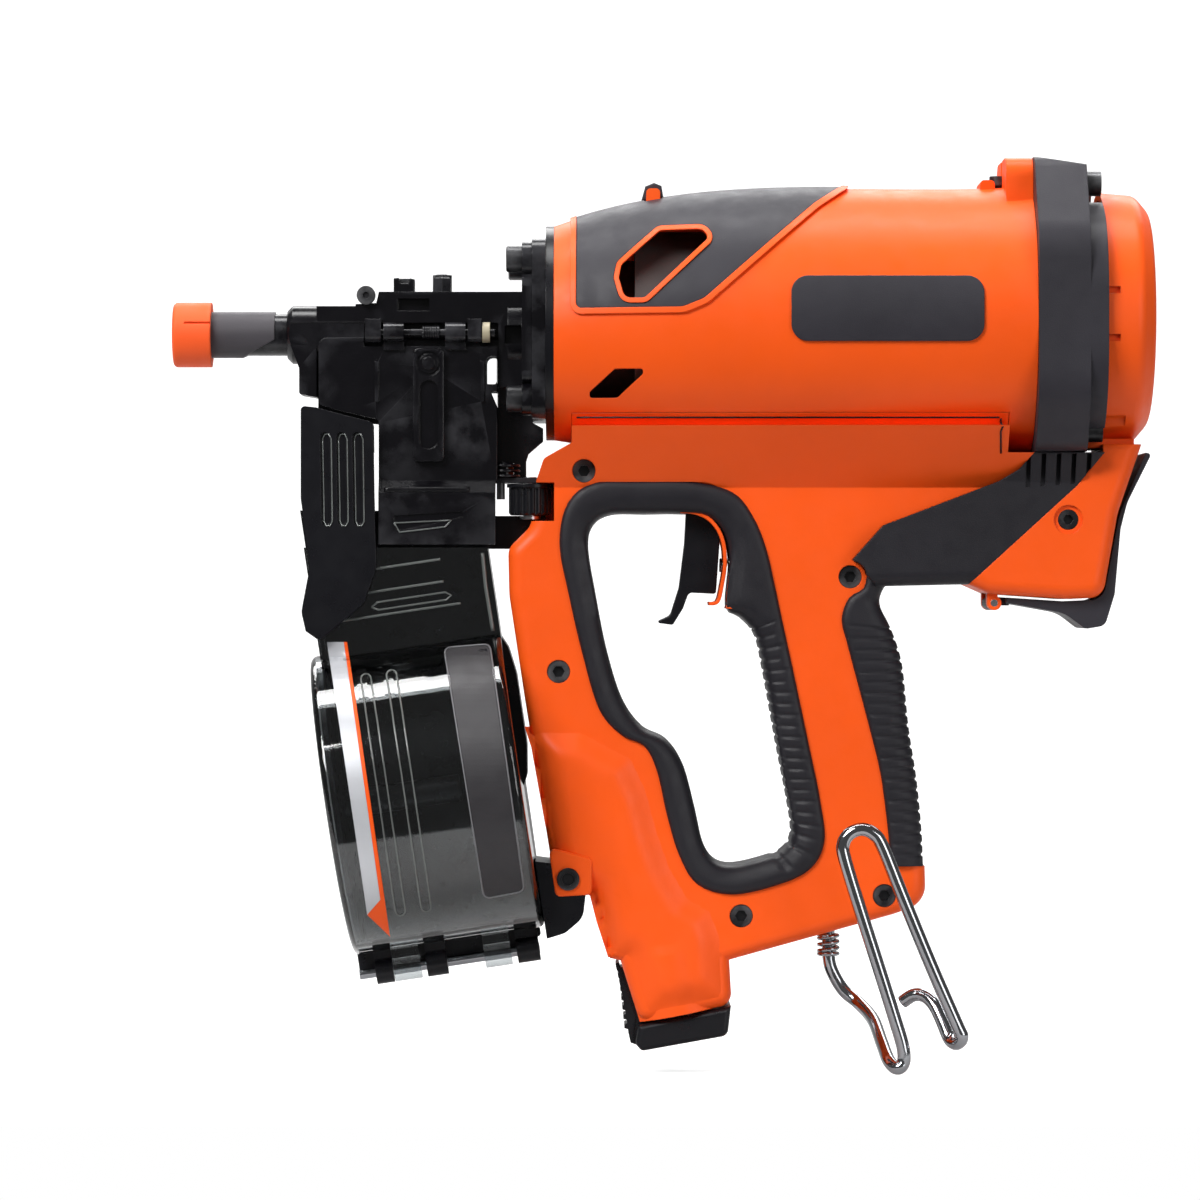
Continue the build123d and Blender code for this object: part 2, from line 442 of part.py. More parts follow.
def near_skin(face, inner, outer):
    """The part of a shell between two growths of the barrel form that lies inside a side outline."""
    return slab(face, -80, 0) & (barrel_form(outer) - barrel_form(inner))


def grown(face, distance):
    return offset(face, distance, kind=Kind.ARC)


def build_barrel():
    shell = barrel_form() - barrel_form(-BARREL_WALL)
    shell -= block(SEAM_FRONT_X, SEAM_BACK_X, -80, 80, -80, SEAM_Z)
    for low_x, high_x, top_z in ((172.3, 177.4, JACKET_R + 15.4), (HEAD_X - 18.2, HEAD_X - 12.8, SLEEVE_R + 17.9)):
        rib = block(low_x, high_x, -9, 9, 40, top_z)
        rib = fillet(rib.edges().filter_by(Axis.Y).group_by(Axis.Z)[-1], 1.6)
        shell += rib - barrel_form(-BARREL_WALL)
    hump = block(HEAD_X - 9.8, HEAD_X, -24, 24, 36, HEAD_TOP_Z)
    hump = fillet(hump.edges().filter_by(Axis.X).group_by(Axis.Z)[-1], 7)
    shell += hump - barrel_form(-BARREL_WALL)
    windows = slab(grown(outline(*WINDOW), RIM), -80, 80)
    windows += slab(outline(*LOWER_WINDOW), -80, 80)
    shell -= windows
    # hole and recess of the screw that holds the shroud at its crown
    shell -= Pos(CROWN_SCREW_X, 0, CROWN_SCREW_Z) * Cylinder(2.2 + SEAT, 40)
    shell -= Pos(CROWN_SCREW_X, 0, CROWN_SCREW_Z) * Cylinder(3.2 + SEAT, 20, align=FROM_BELOW)
    keep("shroud", shell)

    pad = slab(outline(*PAD_OUTLINE), -80, 80) & (barrel_form(PAD_LIFT) - barrel_form())
    pad -= windows
    pad -= block(171.6, 178.1, -9.6, 9.6, 30, 60)
    keep("shroud_pad", pad)

    ring = grown(outline(*WINDOW), RIM) - outline(*WINDOW)
    rim = slab(ring, -80, 0) & (barrel_form(PAD_LIFT + 0.5) - barrel_form(-BARREL_WALL))
    edge = grown(outline(*PAD_OUTLINE), BEAD) - outline(*PAD_OUTLINE)
    bead = slab(edge, -80, 80) & (barrel_form(PAD_LIFT + 0.4) - barrel_form())
    keep("window_rims", Compound([rim, mirror(rim, about=Plane.XZ), bead]))

    plate = slab(outline(*PLATE_OUTLINE), -80, -20) & barrel_form(1.0)
    keep("side_plate", plate - barrel_form())


def head_section(shrink=0.0):
    """Section (y, z) of the head band: wide at its middle, with a flat top and bottom."""
    half = ((27.5, HEAD_TOP_Z, 9), (HEAD_HALF, 33, 22), (HEAD_HALF, -22, 22), (34, HEAD_FOOT_Z, 9))
    corners = [(-y, z, r) for y, z, r in half] + [(y, z, r) for y, z, r in reversed(half)]
    face = outline(*corners)
    return grown(face, -shrink) if shrink else face


def build_head():
    band = along_x(head_section(), HEAD_X + SEAT, HEAD_STEP_X)
    # the rear of the band is lower, and its top slopes down towards the back
    rear = Pos(0, 4) * RectangleRounded(2 * HEAD_HALF, 2 * (HEAD_BORE_R + 3.2), HEAD_BORE_R - 6)
    band += along_x(head_section() & rear, HEAD_X + 2, HEAD_BACK_X)
    band -= both_sides(outline((HEAD_X, HEAD_TOP_Z), (HEAD_STEP_X + 1, HEAD_TOP_Z - 3.4),
                               (HEAD_STEP_X + 1, HEAD_TOP_Z + 9), (HEAD_X, HEAD_TOP_Z + 9)), 60)
    band -= rod_x(HEAD_X - 5, HEAD_BACK_X + 5, HEAD_BORE_R, 0, 4.2)
    for y, z in HEAD_BOLTS:
        band += rod_x(HEAD_X + 4, HEAD_STEP_X, 6.2, y, z)
        band -= rod_x(HEAD_X + 5, HEAD_STEP_X + 20, 2.5, y, z)
    for y, z in HEAD_BOLTS[2:]:
        band -= rod_x(HEAD_STEP_X, HEAD_STEP_X + 20, 4.6, y, z)
    keep("head_band", band)

    bolts = []
    for y, z in HEAD_BOLTS:
        bolt = rod_x(HEAD_X + 6, HEAD_STEP_X + 1, 2.5, y, z) + rod_x(HEAD_STEP_X, HEAD_STEP_X + 5.8, 4.5, y, z)
        bolt -= along_x(Pos(y, z) * RegularPolygon(2.4, 6), HEAD_STEP_X + 3, HEAD_STEP_X + 7)
        bolts.append(bolt)
    screw = Pos(CROWN_SCREW_X, 0, CROWN_SCREW_Z - 8.4) * Cylinder(2.2, 9, align=FROM_BELOW)
    screw += Pos(CROWN_SCREW_X, 0, CROWN_SCREW_Z) * Cylinder(3.2, 3.4, align=FROM_BELOW)
    bolts.append(screw - Pos(CROWN_SCREW_X, 0, CROWN_SCREW_Z + 2) * extrude(RegularPolygon(1.8, 6), amount=3))
    keep("head_bolts", Compound(bolts))

    # domed cover over the fan's air intake
    profile = outline((0, HEAD_BACK_X + SEAT), (CAP_R, HEAD_BACK_X + SEAT), (CAP_R - 1.1, CAP_BACK_X - 7.4, 5),
                      (CAP_R - 7.2, CAP_BACK_X - 2.2, 6), (0, CAP_BACK_X))
    cavity = outline((0, HEAD_BACK_X - 1), (CAP_R - 2.7, HEAD_BACK_X - 1), (CAP_R - 3.9, CAP_BACK_X - 11, 4),
                     (CAP_R - 10.4, CAP_BACK_X - 5.4, 5), (0, CAP_BACK_X - 2.8))
    turned = Plane(origin=(0, 0, CAP_Z), x_dir=(0, 0, 1), z_dir=(0, 1, 0))
    spin = Axis((0, 0, CAP_Z), (1, 0, 0))
    cap = revolve(turned * profile, spin) - revolve(turned * cavity, spin)
    for k in range(-3, 4):
        half = math.sqrt((CAP_R - 11.9) ** 2 - (k * 9.5) ** 2)
        middle = CAP_Z - 1 + k * 9.5
        cap -= block(CAP_BACK_X - 12, CAP_BACK_X + 3, -half, half, middle - 2.2, middle + 2.2)
    for z in (14.0, -3.0):
        cap -= block(HEAD_BACK_X - 1, HEAD_BACK_X + 4.5, -60, 3 - CAP_R, z - 1.2, z + 1.2)
    for y, z in HEAD_BOLTS:
        cap -= rod_x(HEAD_STEP_X, HEAD_BACK_X + 8, 5.2, y, z)
    keep("rear_cap", cap)


# ---------------------------------------------------------------- drive line inside the barrel
def build_drive():
    back = CYLINDER_BACK_X
    cylinder = rod_x(PLATE_X + PLATE_T, back, CYLINDER_R)
    cylinder -= rod_x(PLATE_X + PLATE_T + 3, back + 1, CYLINDER_R - CYLINDER_WALL)
    cylinder -= rod_x(130, 150, CHANNEL_R)
    # two rings carry the air jacket that shows through the windows
    for x in (JACKET_X + 4, SLEEVE_X - 12):
        cylinder += rod_x(x, x + 2.4, JACKET_R - 1) - rod_x(x - 1, x + 4, CYLINDER_R - 1)
    cylinder += rod_x(JACKET_X, SLEEVE_X - 2, JACKET_R) - rod_x(JACKET_X - 1, SLEEVE_X, JACKET_R - JACKET_WALL)
    keep("cylinder", cylinder)

    seat_x = PLATE_X + PLATE_T + 3
    bumper = rod_x(seat_x, BUMPER_BACK_X, CYLINDER_R - CYLINDER_WALL - 0.4) - rod_x(130, 160, CHANNEL_R + 1)
    keep("bumper", bumper)

    piston_x = BUMPER_BACK_X + STROKE + GAP
    piston = rod_x(piston_x, piston_x + PISTON_LENGTH, CYLINDER_R - CYLINDER_WALL - GAP)
    piston -= rod_x(piston_x + 5, piston_x + PISTON_LENGTH + 1, 16)
    for x in (piston_x + 3, piston_x + 7):
        piston -= rod_x(x, x + 1.4, CYLINDER_R) - rod_x(x - 1, x + 3, CYLINDER_R - CYLINDER_WALL - GAP - 1)
    piston -= rod_x(piston_x - 1, piston_x + 4, BLADE_R)
    keep("piston", piston)
    blade = rod_x(BLADE_TIP_X, piston_x + 4, BLADE_R)
    keep("driver_blade", blade)

    sleeve = rod_x(SLEEVE_X, SLEEVE_X + SLEEVE_LENGTH, SLEEVE_R)
    sleeve -= rod_x(SLEEVE_X + 3, SLEEVE_X + SLEEVE_LENGTH + 1, SLEEVE_R - SLEEVE_WALL)
    sleeve -= rod_x(SLEEVE_X - 1, SLEEVE_X + 4, CYLINDER_R + GAP)
    keep("combustion_sleeve", sleeve)

    motor_x = COVER_X + 4
    plug_z = SLEEVE_R - 12
    cover = rod_x(COVER_X, COVER_X + 5, SLEEVE_R) + rod_x(COVER_X + 5, HEAD_X, HEAD_BORE_R + 2, 0, 4.2)
    cover += rod_x(COVER_X + 5, motor_x + MOTOR_LENGTH - 3, MOTOR_R + 2.5)
    cover -= rod_x(motor_x, motor_x + MOTOR_LENGTH, MOTOR_R)
    cover -= rod_x(COVER_X - 1, motor_x + 1, MOTOR_SHAFT_R + 0.6)
    for i in range(3):
        angle = math.radians(90 + i * 120)
        cover -= rod_x(COVER_X - 1, HEAD_X + 1, 3.0, plug_z * math.cos(angle), plug_z * math.sin(angle))
    keep("chamber_head", cover)
    motor = rod_x(motor_x, motor_x + MOTOR_LENGTH, MOTOR_R)
    keep("fan_motor", motor + rod_x(COVER_X - 12, motor_x + 1, MOTOR_SHAFT_R))
    plug = rod_x(COVER_X - 5, HEAD_X + 8, 3.0, 0, plug_z) + rod_x(HEAD_X + 6, HEAD_X + 14, 4.4, 0, plug_z)
    keep("spark_plug", plug)

    hub = rod_x(COVER_X - 11, COVER_X - 4, 5.5) - rod_x(COVER_X - 20, COVER_X, MOTOR_SHAFT_R + RUN)
    for i in range(5):
        vane = Pos(COVER_X - 7.5, 0, 13) * Rot(0, 0, 35) * Box(8.5, 1.4, 18)
        hub += Rot(i * 72, 0, 0) * vane
    keep("fan", hub)


# ---------------------------------------------------------------- lower housing
FRAME = ((145.3, -20), (145.3, -40, 1), (135.2, -45.6, 3), (132.5, -53.5, 3), (130.3, -70, 6), (122.2, -78, 6),
         (122.6, -95, 30), (128.1, -131.5, 60), (137.6, -190, 20), (137.8, -203.2, 6), (152.3, -202.4, 2),
         (156.1, -213.2), (159.1, -226.6), (162.9, -227.4), (170.0, -249.8, 5), (203.3, -243.4, 5),
         (202.4, -227.2), (262, -210.6, 30), (273.6, -206.4, 9), (273.2, -190, 40), (268.5, -152, 60),
         (256, -107, 8), (256.5, -94, 8), (265, -87.8, 8), (288.4, -91), (296, -94.4, 6),
         (FUEL_CELL_BACK_X - 13, -96.6, 30), (FUEL_CELL_BACK_X + 0.8, -95.5, 6.5),
         (FUEL_CELL_BACK_X + 5.5, -65.6, 30), (FUEL_CELL_BACK_X + 15, -41.5), (FUEL_CELL_BACK_X + 15, -20))
HOUSING_REGION = ((100, -29.4), (100, -270), (300, -270), (300, -125), (262, -99), (246.7, -82.1), (257.7, -69.8),
                  (299.6, -53.8, 6), (306.6, -49.6, 4), (311.7, -43.6), (302.2, -43.6), (302.2, -29.4))
HAND_OPENING = ((151.0, -66.0, 9), (199.0, -65.4), (201.0, -78.8, 10), (198.4, -98.4), (197.0, -102.6),
                (209.5, -103.2, 7), (212.5, -112, 20), (219.6, -160.2, 60), (225, -184, 7), (214, -191.5, 12),
                (199.5, -194.0, 9), (193.2, -183.0, 20), (187.0, -157, 12), (180.5, -146.5, 12),
                (166.5, -141.5, 12), (160.5, -125, 30))
RING = ((140.9, -74, 6), (144.4, -60.5, 8), (154, -54, 8), (196, -54, 14), (212.5, -66.5, 12), (216.5, -88, 20),
        (237.2, -170, 30), (237, -191, 12), (222, -199.2, 14), (200.7, -203.2, 10), (189.5, -198.5, 12),
        (183.2, -186.5, 20), (176.2, -157.5, 12), (169.5, -147.6, 10), (154.6, -141.5, 12), (147.5, -115, 30))
REAR_SEAM = ((242.6, -95.6, 3), (246.8, -119.4, 20), (253.4, -142, 40), (259.7, -192.6, 3))
REAR_PAD = REAR_SEAM + ((274.4, -193.2, 1), (273.6, -180, 30), (268.5, -152, 60), (256.0, -107, 8),
                        (256.4, -95.6, 1))
REAR_CUT = REAR_SEAM + ((300, -194.245), (300, -95.6))
REAR_CORE = ((230, -80), (253.2, -80), (253.2, -107.6, 8), (265.5, -152, 60), (270.4, -185), (270.8, -210),
             (230, -210))
BAY = ((244, -38), (244, -92), (288.4, -91.0), (296, -94.4, 8), (FUEL_CELL_BACK_X - 13, -96.4, 30),
       (FUEL_CELL_BACK_X + 0.2, -95.8, 6), (FUEL_CELL_BACK_X + 5.5, -65.6, 30), (FUEL_CELL_BACK_X + 15, -38))
BAND_REGION = ((311.8, -43.6), (306.6, -49.6, 4), (299.6, -53.8, 6), (257.7, -69.8), (246.7, -82.1),
               (262, -99), (288.5, -99), (288.5, -91.1), (FUEL_CELL_BACK_X - 9.4, -55.4, 6),
               (FUEL_CELL_BACK_X - 0.1, -43.6))
COVER_REGION = ((FUEL_CELL_BACK_X - 0.1, -40.5), (FUEL_CELL_BACK_X - 0.1, -43.6),
                (FUEL_CELL_BACK_X - 9.4, -55.4, 6), (288.5, -91.1), (288.5, -99),
                (FUEL_CELL_BACK_X + 23, -99), (FUEL_CELL_BACK_X + 23, -40.5))
FUEL_DOOR = ((FUEL_CELL_BACK_X + 15.9, -43.4), (FUEL_CELL_BACK_X + 18, -43.8, 1),
             (FUEL_CELL_BACK_X + 9.2, -61.5, 20), (FUEL_CELL_BACK_X + 6.8, -71.0, 8),
             (FUEL_CELL_BACK_X + 4.7, -94.5, 8), (FUEL_CELL_BACK_X + 1.2, -106.0, 3.5),
             (FUEL_CELL_BACK_X - 6, -107.2, 3), (FUEL_CELL_BACK_X - 13.5, -101.4, 12), (306.6, -98.4, 20),
             (297.0, -97.0), (296.6, -95.4), (FUEL_CELL_BACK_X - 13, -97.2, 20),
             (FUEL_CELL_BACK_X + 0.5, -96.6, 5.8), (FUEL_CELL_BACK_X + 6.3, -66, 30))


def soft_slab(corners, half, radius):
    """Both-sided prism of a side outline with rounded long edges."""
    solid = both_sides(outline(*corners), half)
    rims = [edge for edge in solid.edges() if abs(abs(edge.center().Y) - half) < 1e-3]
    return fillet(rims, radius)


def flare(low_x, high_x, low_half, high_half, top_z, foot_half, foot_z):
    """Flared wall between the handle frame and the barrel: a loft from a wide top to a narrow foot."""
    top = Plane.XY.offset(top_z) * outline((low_x, -low_half), (high_x, -high_half), (high_x, high_half),
                                           (low_x, low_half))
    foot = Plane.XY.offset(foot_z) * outline((low_x, -foot_half), (high_x, -foot_half), (high_x, foot_half),
                                             (low_x, foot_half))
    return loft([top, foot])


def cut_to(solid, corners):
    return solid & both_sides(outline(*corners), 60)


def battery_frame():
    tilt = math.radians(BATTERY_TILT)
    return Plane(origin=(BATTERY_FOOT[0], 0, BATTERY_FOOT[1]), x_dir=(0, 1, 0),
                 z_dir=(-math.sin(tilt), 0, math.cos(tilt)))


def along_battery(low, high, radius):
    return extrude(battery_frame().offset(low) * Circle(radius), amount=high - low)


def screw_hole(x, z, face_y):
    """Counterbored hole for a screw whose head sits below the face at face_y."""
    head = rod_y(face_y - 30, face_y + SCREW_HEAD_H, SCREW_HEAD_R + SEAT, x, z)
    return head + rod_y(face_y, SCREW_END_Y, SCREW_R + SEAT, x, z)


def make_screw(x, z, face_y):
    screw = rod_y(face_y + 0.6, face_y + SCREW_HEAD_H, SCREW_HEAD_R, x, z)
    screw += rod_y(face_y + 1, SCREW_END_Y, SCREW_R, x, z)
    return screw - slab(Pos(x, z) * RegularPolygon(2.2, 6), face_y - 1, face_y + 2.4)


def fuel_room():
    """Bore for the fuel cell, open at the back."""
    return rod_x(FUEL_CELL_FRONT_X - SEAT, FUEL_CELL_BACK_X + 23, FUEL_CELL_R + SEAT, 0, FUEL_CELL_Z)


def valve_block():
    return block(FUEL_CELL_FRONT_X - 13, FUEL_CELL_FRONT_X - SEAT, -8, 8, FUEL_CELL_Z - 9, FUEL_CELL_Z + 9)


def build_housing():
    opening = both_sides(outline(*HAND_OPENING), 40)
    core_opening = grown(outline(*HAND_OPENING), PAD_EDGE)
    well = block(184.9, TRIGGER_WELL_X, -TRIGGER_HALF - 0.7, TRIGGER_HALF + 0.7, -99.5, -54.0)
    rim_form = both_sides(outline((199.4, -66.2), (204.0, -66.2), (204.2, -79.5), (201.8, -98.2), (198.6, -98.2),
                                  (201.2, -78.8)), TRIGGER_HALF + 4.5)

    frame = soft_slab(FRAME, GRIP_HALF, EDGE_R)
    ring = soft_slab(RING, GRIP_HALF + PAD_T, 2.0) - opening
    ring -= both_sides(grown(outline(*RING), 1) - core_opening, GRIP_HALF)
    for i in range(14):
        z = -108 - i * 6.2
        ring -= rod_y(-40, 40, 1.0, 211.8 + (-z - 108) * 0.149, z)
    ring -= rim_form + well
    keep("hand_opening_grip", ring)

    rear = soft_slab(REAR_PAD, GRIP_HALF + PAD_T, 2.0) - both_sides(outline(*REAR_CORE), GRIP_HALF)
    rear -= rod_y(-40, 40, BOSS_R + SEAT, BOSS_X, BOSS_Z)
    for i in range(15):
        z = -101 - i * 6.2
        rear -= mirrored(block(235, 280, -40, -GRIP_HALF - PAD_T + 0.7, z - 0.7, z + 0.7))
    keep("rear_grip_pad", rear)

    rim = rim_form - well
    keep("trigger_rim", rim)

    walls = flare(130, 312, 31, 40, -34, GRIP_HALF, -56) + (barrel_form() & block(140, 302.2, -60, 60, -60, -29.4))
    shell = cut_to(frame - both_sides(core_opening, 40), HOUSING_REGION)
    shell += cut_to(cut_to(walls - opening, HOUSING_REGION), FRAME)
    shell += frame & rod_y(-40, 40, BOSS_R, BOSS_X, BOSS_Z)
    shell += along_battery(7.5, 34, BATTERY_R + 5.6) & both_sides(outline((150, -200), (162.9, -227.4),
                                                                          (170.0, -249.8), (203.3, -243.4),
                                                                          (202.4, -200)), 30)
    shell -= barrel_form(-BARREL_WALL) + (barrel_form() & block(SEAM_BACK_X - 0.2, 320, -60, 60, -60, 0))
    shell -= block(100, SEAM_FRONT_X, -60, 60, -39.6, 0)
    shell -= both_sides(outline(*RING) - core_opening, 40) - both_sides(outline(*RING), GRIP_HALF)
    boss = rod_y(-40, 40, BOSS_R, BOSS_X, BOSS_Z)
    shell -= both_sides(outline(*REAR_CUT), 40) - both_sides(outline(*REAR_CORE), GRIP_HALF) - boss
    shell -= rim_form + well
    shell -= along_battery(0, BATTERY_LENGTH + 1, BATTERY_R + GAP)
    shell -= fuel_room() + valve_block()
    # pocket for the depth wheel, open to the near side, and a notch for the ear above it
    pocket_top_z, pocket_foot_z = WHEEL_TOP_Z + GAP, WHEEL_TOP_Z - WHEEL_LENGTH - 2.2
    shell -= Pos(WHEEL_X, WHEEL_Y, pocket_top_z) * Cylinder(WHEEL_R + 1.2, pocket_top_z - pocket_foot_z, align=FROM_ABOVE)
    shell -= block(110, WHEEL_X + WHEEL_R + 1.2, -40, WHEEL_Y, pocket_foot_z, pocket_top_z)
    shell -= block(110, WHEEL_X + 4.0, NOSE_NEAR_Y, NOSE_FAR_Y + 1.4, EAR_TOP_Z - EAR_T - 1, EAR_TOP_Z + GAP)
    shell -= block(110, 136, 0.9, 9.1, -78.1, -65.9)
    for site in HOUSING_SCREWS:
        shell -= screw_hole(*site)
    shell -= rod_y(-30, SCREW_END_Y, SCREW_R + SEAT, BRACKET_SCREW[0], BRACKET_SCREW[1])
    shell -= rod_y(-9.5, 9.5, TRIGGER_PIN_R, *TRIGGER_PIVOT)
    shell -= Pos(HOOK_X, 0, HOOK_Z + 2) * Cylinder(HOOK_WIRE_R + RUN, 60)
    keep("handle_shell_left", shell & block(0, 400, -80, 0, -300, 0))
    keep("handle_shell_right", shell & block(0, 400, 0, 80, -300, 0))


def build_screws():
    screws = [make_screw(*site) for site in HOUSING_SCREWS + (BRACKET_SCREW,)]
    x, z, face_y = BAY_SCREW
    screw = rod_y(face_y + 1.2, face_y + 4.2, 3.6, x, z) + rod_y(face_y + 2, face_y + 8, 1.6, x, z)
    screws.append(screw - slab(Pos(x, z) * RegularPolygon(1.9, 6), face_y, face_y + 3))
    keep("housing_screws", Compound(screws))


# ---------------------------------------------------------------- trigger
TRIGGER = ((187.2, -57.0, 1.5), (199.2, -57.0, 2), (199.3, -72.5, 10), (197.7, -94.5, 1), (187.8, -94.0, 2),
           (185.7, -99.8, 3), (182.0, -105.8, 1), (175.2, -104.9, 0.6), (181.0, -102.3, 3), (184.2, -92.2, 10),
           (186.2, -76, 20))


def build_trigger():
    trigger = soft_slab(TRIGGER, TRIGGER_HALF, 0.5)
    trigger -= rod_y(-20, 20, TRIGGER_PIN_R + RUN, *TRIGGER_PIVOT)
    keep("trigger", trigger)
    keep("trigger_pin", rod_y(-9.5, 9.5, TRIGGER_PIN_R, *TRIGGER_PIVOT))
    spring = ring_stack(0, TRIGGER_WELL_X - 198.9, 2.6, 1.3, 6)
    keep("trigger_spring", Pos(198.9, 0, -84) * Rot(0, 90, 0) * spring)
    switch = block(203.5, TRIGGER_WELL_X, -5, 5, -74, -62) + block(202.6, 204, -2, 2, -70, -66)
    keep("trigger_switch", switch)


# ---------------------------------------------------------------- fuel bay
def build_bay():
    bay = soft_slab(BAY, BAY_HALF, EDGE_R)
    bay += flare(300, FUEL_CELL_BACK_X - 0.2, 30, 34, -40.6, BAY_HALF - 1, -56)
    bay -= fuel_room() + valve_block()
    band = cut_to(bay, BAND_REGION) - barrel_form(0.1) - rod_y(-40, 40, BOSS_R + SEAT, BOSS_X, BOSS_Z)
    for i in range(5):
        x = 309 + i * 5.4
        band -= mirrored(block(x, x + 1.6, -40, -BAY_HALF + 0.9, -56 + i * 0.4, -44))
    keep("fuel_bay_band", band)

    cover = cut_to(soft_slab(BAY, BAY_HALF, EDGE_R) - fuel_room(), COVER_REGION)
    x, z, face_y = BAY_SCREW
    cover -= rod_y(face_y - 5, face_y + 1.2, 5.2, x, z) + rod_y(face_y - 5, face_y + 4.2, 3.6 + SEAT, x, z)
    cover -= rod_y(face_y, face_y + 8, 1.6 + SEAT, x, z)
    for side in (-1, 1):
        low_y, high_y = sorted((side * 10.4, side * 17.0))
        lug = rod_y(low_y, high_y, 2.6, DOOR_HINGE_X, DOOR_HINGE_Z)
        lug += block(DOOR_HINGE_X - 2.6, DOOR_HINGE_X + 1.2, low_y, high_y, DOOR_HINGE_Z, -92)
        cover += lug - rod_y(-20, 20, 1.3, DOOR_HINGE_X, DOOR_HINGE_Z) - fuel_room()
    keep("fuel_bay_cover", cover)
    keep("fuel_door_pin", rod_y(-17.0, 17.0, 1.3, DOOR_HINGE_X, DOOR_HINGE_Z))

    door = both_sides(outline(*FUEL_DOOR), FUEL_DOOR_HALF)
    door -= mirrored(block(290, 302.5, -30, -10.1, -110, -90))
    door -= both_sides(Pos(DOOR_HINGE_X, DOOR_HINGE_Z) * Circle(3.0), 40)
    door += rod_y(-10.1, 10.1, 2.6, DOOR_HINGE_X, DOOR_HINGE_Z)
    door += block(DOOR_HINGE_X, 304, -10.1, 10.1, DOOR_HINGE_Z - 0.9, DOOR_HINGE_Z + 1.0)
    door -= rod_y(-20, 20, 1.3 + RUN, DOOR_HINGE_X, DOOR_HINGE_Z)
    for i in range(6):
        z = -47 - i * 3.0
        depth_x = FUEL_CELL_BACK_X + 16.4 - i * 1.4
        door -= block(depth_x, FUEL_CELL_BACK_X + 23, -14, 14, z - 0.7, z + 0.7)
    keep("fuel_door", door)

    cell = rod_x(FUEL_CELL_FRONT_X, FUEL_CELL_BACK_X, FUEL_CELL_R, 0, FUEL_CELL_Z)
    cell = fillet(cell.edges().filter_by(GeomType.CIRCLE), 2.5)
    keep("fuel_cell", cell)
    keep("fuel_valve", valve_block())


# ---------------------------------------------------------------- battery and hook
def build_battery():
    foot = soft_slab(((169.4, -250.8), (168.3, -257.6, 2), (170.6, -260.2, 2), (201.8, -254.6, 3), (203.0, -244.0)),
                     15.5, 2.0)
    battery = foot + along_battery(4, BATTERY_LENGTH, BATTERY_R)
    keep("battery", battery)
    latch = both_sides(outline((160.9, -228.2, 0.6), (162.3, -228.6, 0.6), (168.6, -248.0), (168.2, -250.8),
                               (167.6, -256.8, 0.4), (166.4, -256.4, 0.4), (164.4, -244.5, 10)), 9)
    for i in range(5):
        z = -232 - i * 2.6
        latch -= rod_y(-20, 20, 0.7, 161.5 - (z + 232) * 0.17, z)
    keep("battery_latch", latch)


def build_hook():
    reach = -HOOK_REACH
    x = HOOK_X
    wire = bent_wire(HOOK_WIRE_R, (x, 0, -192, 0), (x, 0, -240, 7), (x + 17, -2, -243, 6), (x + 27, reach, -270, 6),
                     (x + 0.4, reach, -179.5, 7), (x + 24.8, reach, -179.5, 9), (x + 52.7, reach, -258, 5),
                     (x + 34.2, reach + 14, -240, 5), (x + 19.2, reach + 20, -247.5, 0))
    wire += Pos(x, 0, -228) * Cylinder(4.6, 2.4)
    keep("rafter_hook", wire)
    spring = ring_stack(-226.6, HOOK_Z - 1.2, 4.6, HOOK_WIRE_R + 0.3, 6)
    keep("hook_spring", Pos(x, 0, 0) * spring)


# ---------------------------------------------------------------- magazine
def in_magazine(shape):
    """Place a shape made about the drum's own axis (its x along the axis, its z up the magazine)."""
    return Pos(MAG_X, 0, MAG_Z) * Rot(0, -MAG_TILT, 0) * shape


def drum_outer():
    drum = rod_x(-DRUM_HALF, DRUM_HALF, DRUM_R)
    drum = fillet(drum.edges().filter_by(GeomType.CIRCLE), 2.5)
    return drum + block(NECK_FRONT_U, DRUM_HALF, NECK_NEAR_Y, NECK_FAR_Y, 30, 125)


def drum_inner():
    half = DRUM_HALF - MAG_WALL
    room = rod_x(-half, half, DRUM_R - MAG_WALL)
    return room + block(NECK_FRONT_U + MAG_WALL, half, NECK_NEAR_Y + MAG_WALL, NECK_FAR_Y - MAG_WALL, 30, 130)


def knuckle_row(spans, side):
    """Hinge knuckles below the drum; side is +1 for a web on the far half and -1 for one on the near half."""
    row = Part()
    low_y, high_y = sorted((side * SPLIT, side * 4.2))
    for low_x, high_x in spans:
        row += rod_x(low_x, high_x, MAG_KNUCKLE_R, 0, MAG_HINGE_V)
        row += block(low_x, high_x, low_y, high_y, MAG_HINGE_V, 1.5 - DRUM_R)
    return row


def rib_on_drum(low_u, high_u):
    """A shallow rounded rib up the drum's near side."""
    low_v, high_v, end_r = RIB_FOOT_V, RIB_TOP_V, (high_u - low_u) / 2 - 0.1
    form = outline((low_u, low_v, end_r), (high_u, low_v, end_r), (high_u, high_v, end_r), (low_u, high_v, end_r))
    return slab(form, -80, -15) & (rod_x(low_u, high_u, DRUM_R + 0.9) - rod_x(low_u - 1, high_u + 1, DRUM_R - 0.5))


